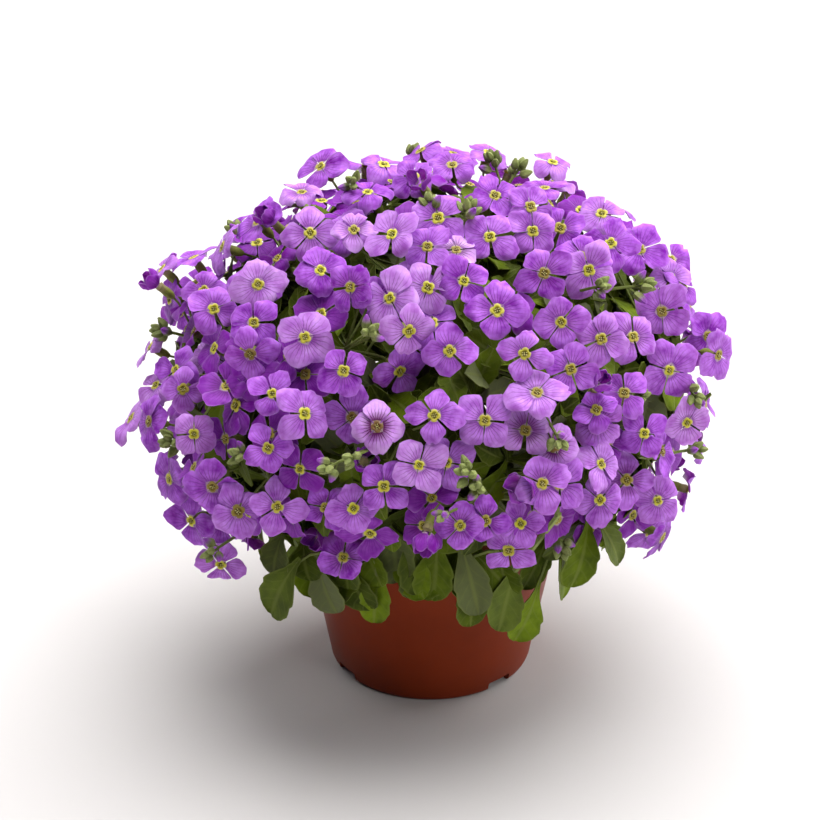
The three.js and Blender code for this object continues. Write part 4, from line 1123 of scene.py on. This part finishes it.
# Bud clusters that show among the flowers: where each ends, and how many buds it has.
SEEN_BUDS = [
    ((32, 11, 203), 6), ((76, -32, 176), 7), ((-1, -20, 203), 6), ((13, -24, 203), 7),
    ((-29, -2, 203), 5), ((-28, -99, 143), 4), ((11, -104, 141), 7), ((15, -105, 135), 5),
    ((4, -105, 124), 3), ((-68, -80, 134), 5), ((-36, -98, 139), 5), ((59, -45, 182), 5),
    ((43, -93, 147), 5), ((95, -46, 138), 6), ((-80, -72, 88), 6),
]
for end, count in SEEN_BUDS:
    nearest_spray(Vector(end)).buds.append((Vector(end), count))

# A long bare stalk that shows in front: its top and its foot.
BARE_TOP = Vector((46, -88, 117))
BARE_FOOT = Vector((30, -71, 80))

def add_bare_stalk(target, spray):
    path = bezier(spray.tip, spray.tip.lerp(BARE_TOP, 0.7), BARE_TOP + UP * 4,
                  BARE_TOP.lerp(BARE_FOOT, 0.15), 6)
    thin_tube.lay(target, path, (0.9, 1.0), 1.0)
    path = [BARE_TOP.lerp(BARE_FOOT, share) for share in (0.1, 0.5, 1)]
    thin_tube.lay(target, path, (1.0, 1.2), 1.0)

for number, spray in enumerate(sprays):
    flowers, greens = bmesh.new(), bmesh.new()
    for bloom in spray.blooms:
        add_petals(flowers, bloom, bloom.tone, bloom.age)
        if bloom.shut < 0.5:
            eye_age = max(bloom.age, 0.9 * draw(bloom.index, 87) ** 2.5)
            add_eye(flowers, bloom, bloom.tone, eye_age)
        add_calyx(greens, bloom)
    stalk_tube.lay(greens, spray.line, SPRAY_STALK_RADII, 0.35)
    site = spray.site
    for order, (end, count) in enumerate(spray.buds):
        add_bud_cluster(greens, spray.tip, end, 800 + 5 * number + order, count)
    if spray is nearest_spray(BARE_TOP):
        add_bare_stalk(greens, spray)
    # A spray with no buds that show has a cluster by rule, where no flower is in its way.
    for attempt in range(0 if spray.buds else BUD_TRIES):
        aside = swayed(number, 96 + 3 * attempt) * 14
        bud_end = site.place + aside - site.out * (aside.dot(site.out) + 3 + 3 * draw(number, 95))
        if not crowded(bud_end, 6):
            add_bud_cluster(greens, spray.tip, bud_end, 700 + number, 6 + int(3 * draw(number, 97)))
            break
    index = 400 + number

    def spray_leaf(attempt):
        quarter = math.floor(4 * draw(index, 1)) + attempt
        turn = (quarter + 0.5 + 0.2 * sway(index, 2)) * math.pi / 2
        tilt = 0.1 + 0.25 * draw(index, 3)
        along = (spray.turned @ Vector((math.cos(turn), math.sin(turn), tilt))).normalized()
        return spray.tip, along, site.out
    add_packed_leaf(greens, index, spray_leaf, 0.35 + 0.5 * draw(index, 130))
    for tuft in spray.tufts:
        add_tuft(greens, spray, *tuft)
    for shape, ending, slot in ((flowers, "flowers", "flowers"), (greens, "greenery", "foliage")):
        piece = finished(f"{spray.name}_{ending}", shape, FINISHES)
        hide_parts(spray.name)

# The leafy shoots that lean over the rim: each is a soft stem with large toothed leaves. Those in front
# hang as they do on the real plant: each leaf's foot, its tip, how light it is, which is partly its own
# green and partly painted light and shade, and how grey it is.
SEEN_LEAVES = [
    ((-48, -74, 87), (-62, -75, 66), 0.45, 0.2), ((-47, -64, 90), (-47, -70, 75), 0.2, 0.0),
    ((-43, -54, 76), (-34, -61, 56), 0.3, 0.9), ((-34, -56, 80), (-24, -62, 57), 0.1, 0.0),
    ((-26, -58, 86), (-17, -65, 70), 0.5, 0.0), ((-16, -60, 96), (-10, -67, 72), 0.2, 0.5),
    ((-9, -61, 93), (-6, -66, 66), 0.2, 0.1), ((2, -62, 92), (3, -67, 64), 0.5, 0.0),
    ((-4, -61, 86), (-3, -64, 64), 0.1, 0.2), ((9, -61, 90), (19, -65, 59), 0.35, 0.75),
    ((31, -58, 77), (22, -67, 52), 0.6, 0.3), ((40, -56, 66), (29, -61, 43), 0.95, 0.0),
    ((61, -52, 96), (41, -59, 78), 0.25, 0.3), ((57, -58, 97), (52, -67, 70), 0.55, 0.0),
    ((59, -60, 97), (68, -66, 79), 0.3, 0.2), ((24, -60, 82), (28, -60, 62), 0.3, 0.0),
    ((-31, -58, 88), (-29, -62, 66), 0.25, 0.1), ((14, -57, 88), (14, -60, 71), 0.15, 0.0),
    ((50, -50, 90), (46, -58, 68), 0.2, 0.3), ((-54, -62, 92), (-60, -70, 78), 0.2, 0.4),
]
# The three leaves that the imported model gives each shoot: how far back from its tip they stand, how
# far they fan out to the side, and how steeply they drop.
PACKED_LEAVES = ((0.6, 0, 2.2), (6, 1, 0.9), (11, -1, 0.8))
SHOOT_STALK_RADII = (1.5, 1.2, 0.8)
SHOOT_STALK_POINTS = 14
SMALL_LEAVES = 7
SEEN_WIDE = 12.3
SEEN_WIDE_CHANGE = 3

for order, shoot in enumerate(shoots):
    shape = bmesh.new()
    stalk_tube.lay(shape, shoot.line[:SHOOT_STALK_POINTS], SHOOT_STALK_RADII, 0.3)
    hand = 1 if order % 2 else -1
    outward = shoot.outward
    sideways = UP.cross(outward)
    for i, (back, fan, drop) in enumerate(PACKED_LEAVES):
        index = 300 + len(PACKED_LEAVES) * order + i
        foot = back_from_tip(shoot.corners, back)

        def shoot_leaf(attempt):
            turn = hand * fan + 0.25 * sway(index, 1) + 0.12 * attempt * (1 if attempt % 2 else -1)
            fall = drop * (1 + 0.3 * sway(index, 2)) - 0.06 * attempt
            along = outward * math.cos(turn) + sideways * math.sin(turn) - UP * fall
            return foot, along.normalized(), UP + outward * 0.8
        add_packed_leaf(shape, index, shoot_leaf, 0.25 + 0.75 * draw(index, 130))

    # The leaves that show in front hang from the nearest shoot.
    for own, (foot, tip, tone, grey) in enumerate(SEEN_LEAVES, 6000):
        foot, tip = Vector(foot), Vector(tip)
        if min(shoots, key=lambda other: (other.tip - foot).length) is not shoot:
            continue
        way = tip - foot
        start = min(shoot.line, key=lambda place: (place - foot).length)
        path = bezier(start, start + UP * 4, foot - way * 0.2 + UP * 2, foot + way * 0.1, 6)
        thin_tube.lay(shape, path, (0.8, 0.7), 0.6)
        facing = Vector((foot.x, foot.y, 0)).normalized() + swayed(own, 140) * 0.35
        along = (way.normalized() + facing * 0.25).normalized()
        width = SEEN_WIDE + SEEN_WIDE_CHANGE * draw(own, 141)
        # The leaf's tone is partly painted light and shade.
        large_leaf.lay(shape, foot, along, facing, way.length * 0.98, width, 0.2, own, tone, grey)

    # Small leaves stand up along the stem, the youngest near its tip.
    for i in range(SMALL_LEAVES):
        own = 5000 + 10 * order + i
        foot = back_from_tip(shoot.corners, 9 + 5 * i)
        turn = math.atan2(outward.y, outward.x) + 2.2 * sway(own, 1)
        along = Vector((math.cos(turn), math.sin(turn), -0.3 + 0.8 * draw(own, 2))).normalized()
        long = 15 + 7 * draw(own, 3)
        small_leaf.lay(shape, foot, along, UP + outward * 0.3, long, long * 0.45, 0.3 * draw(own, 4),
                       own, 0.6 * draw(own, 5))
    piece = finished(f"{shoot.name}_leaves", shape, FINISHES)
    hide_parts(shoot.name)
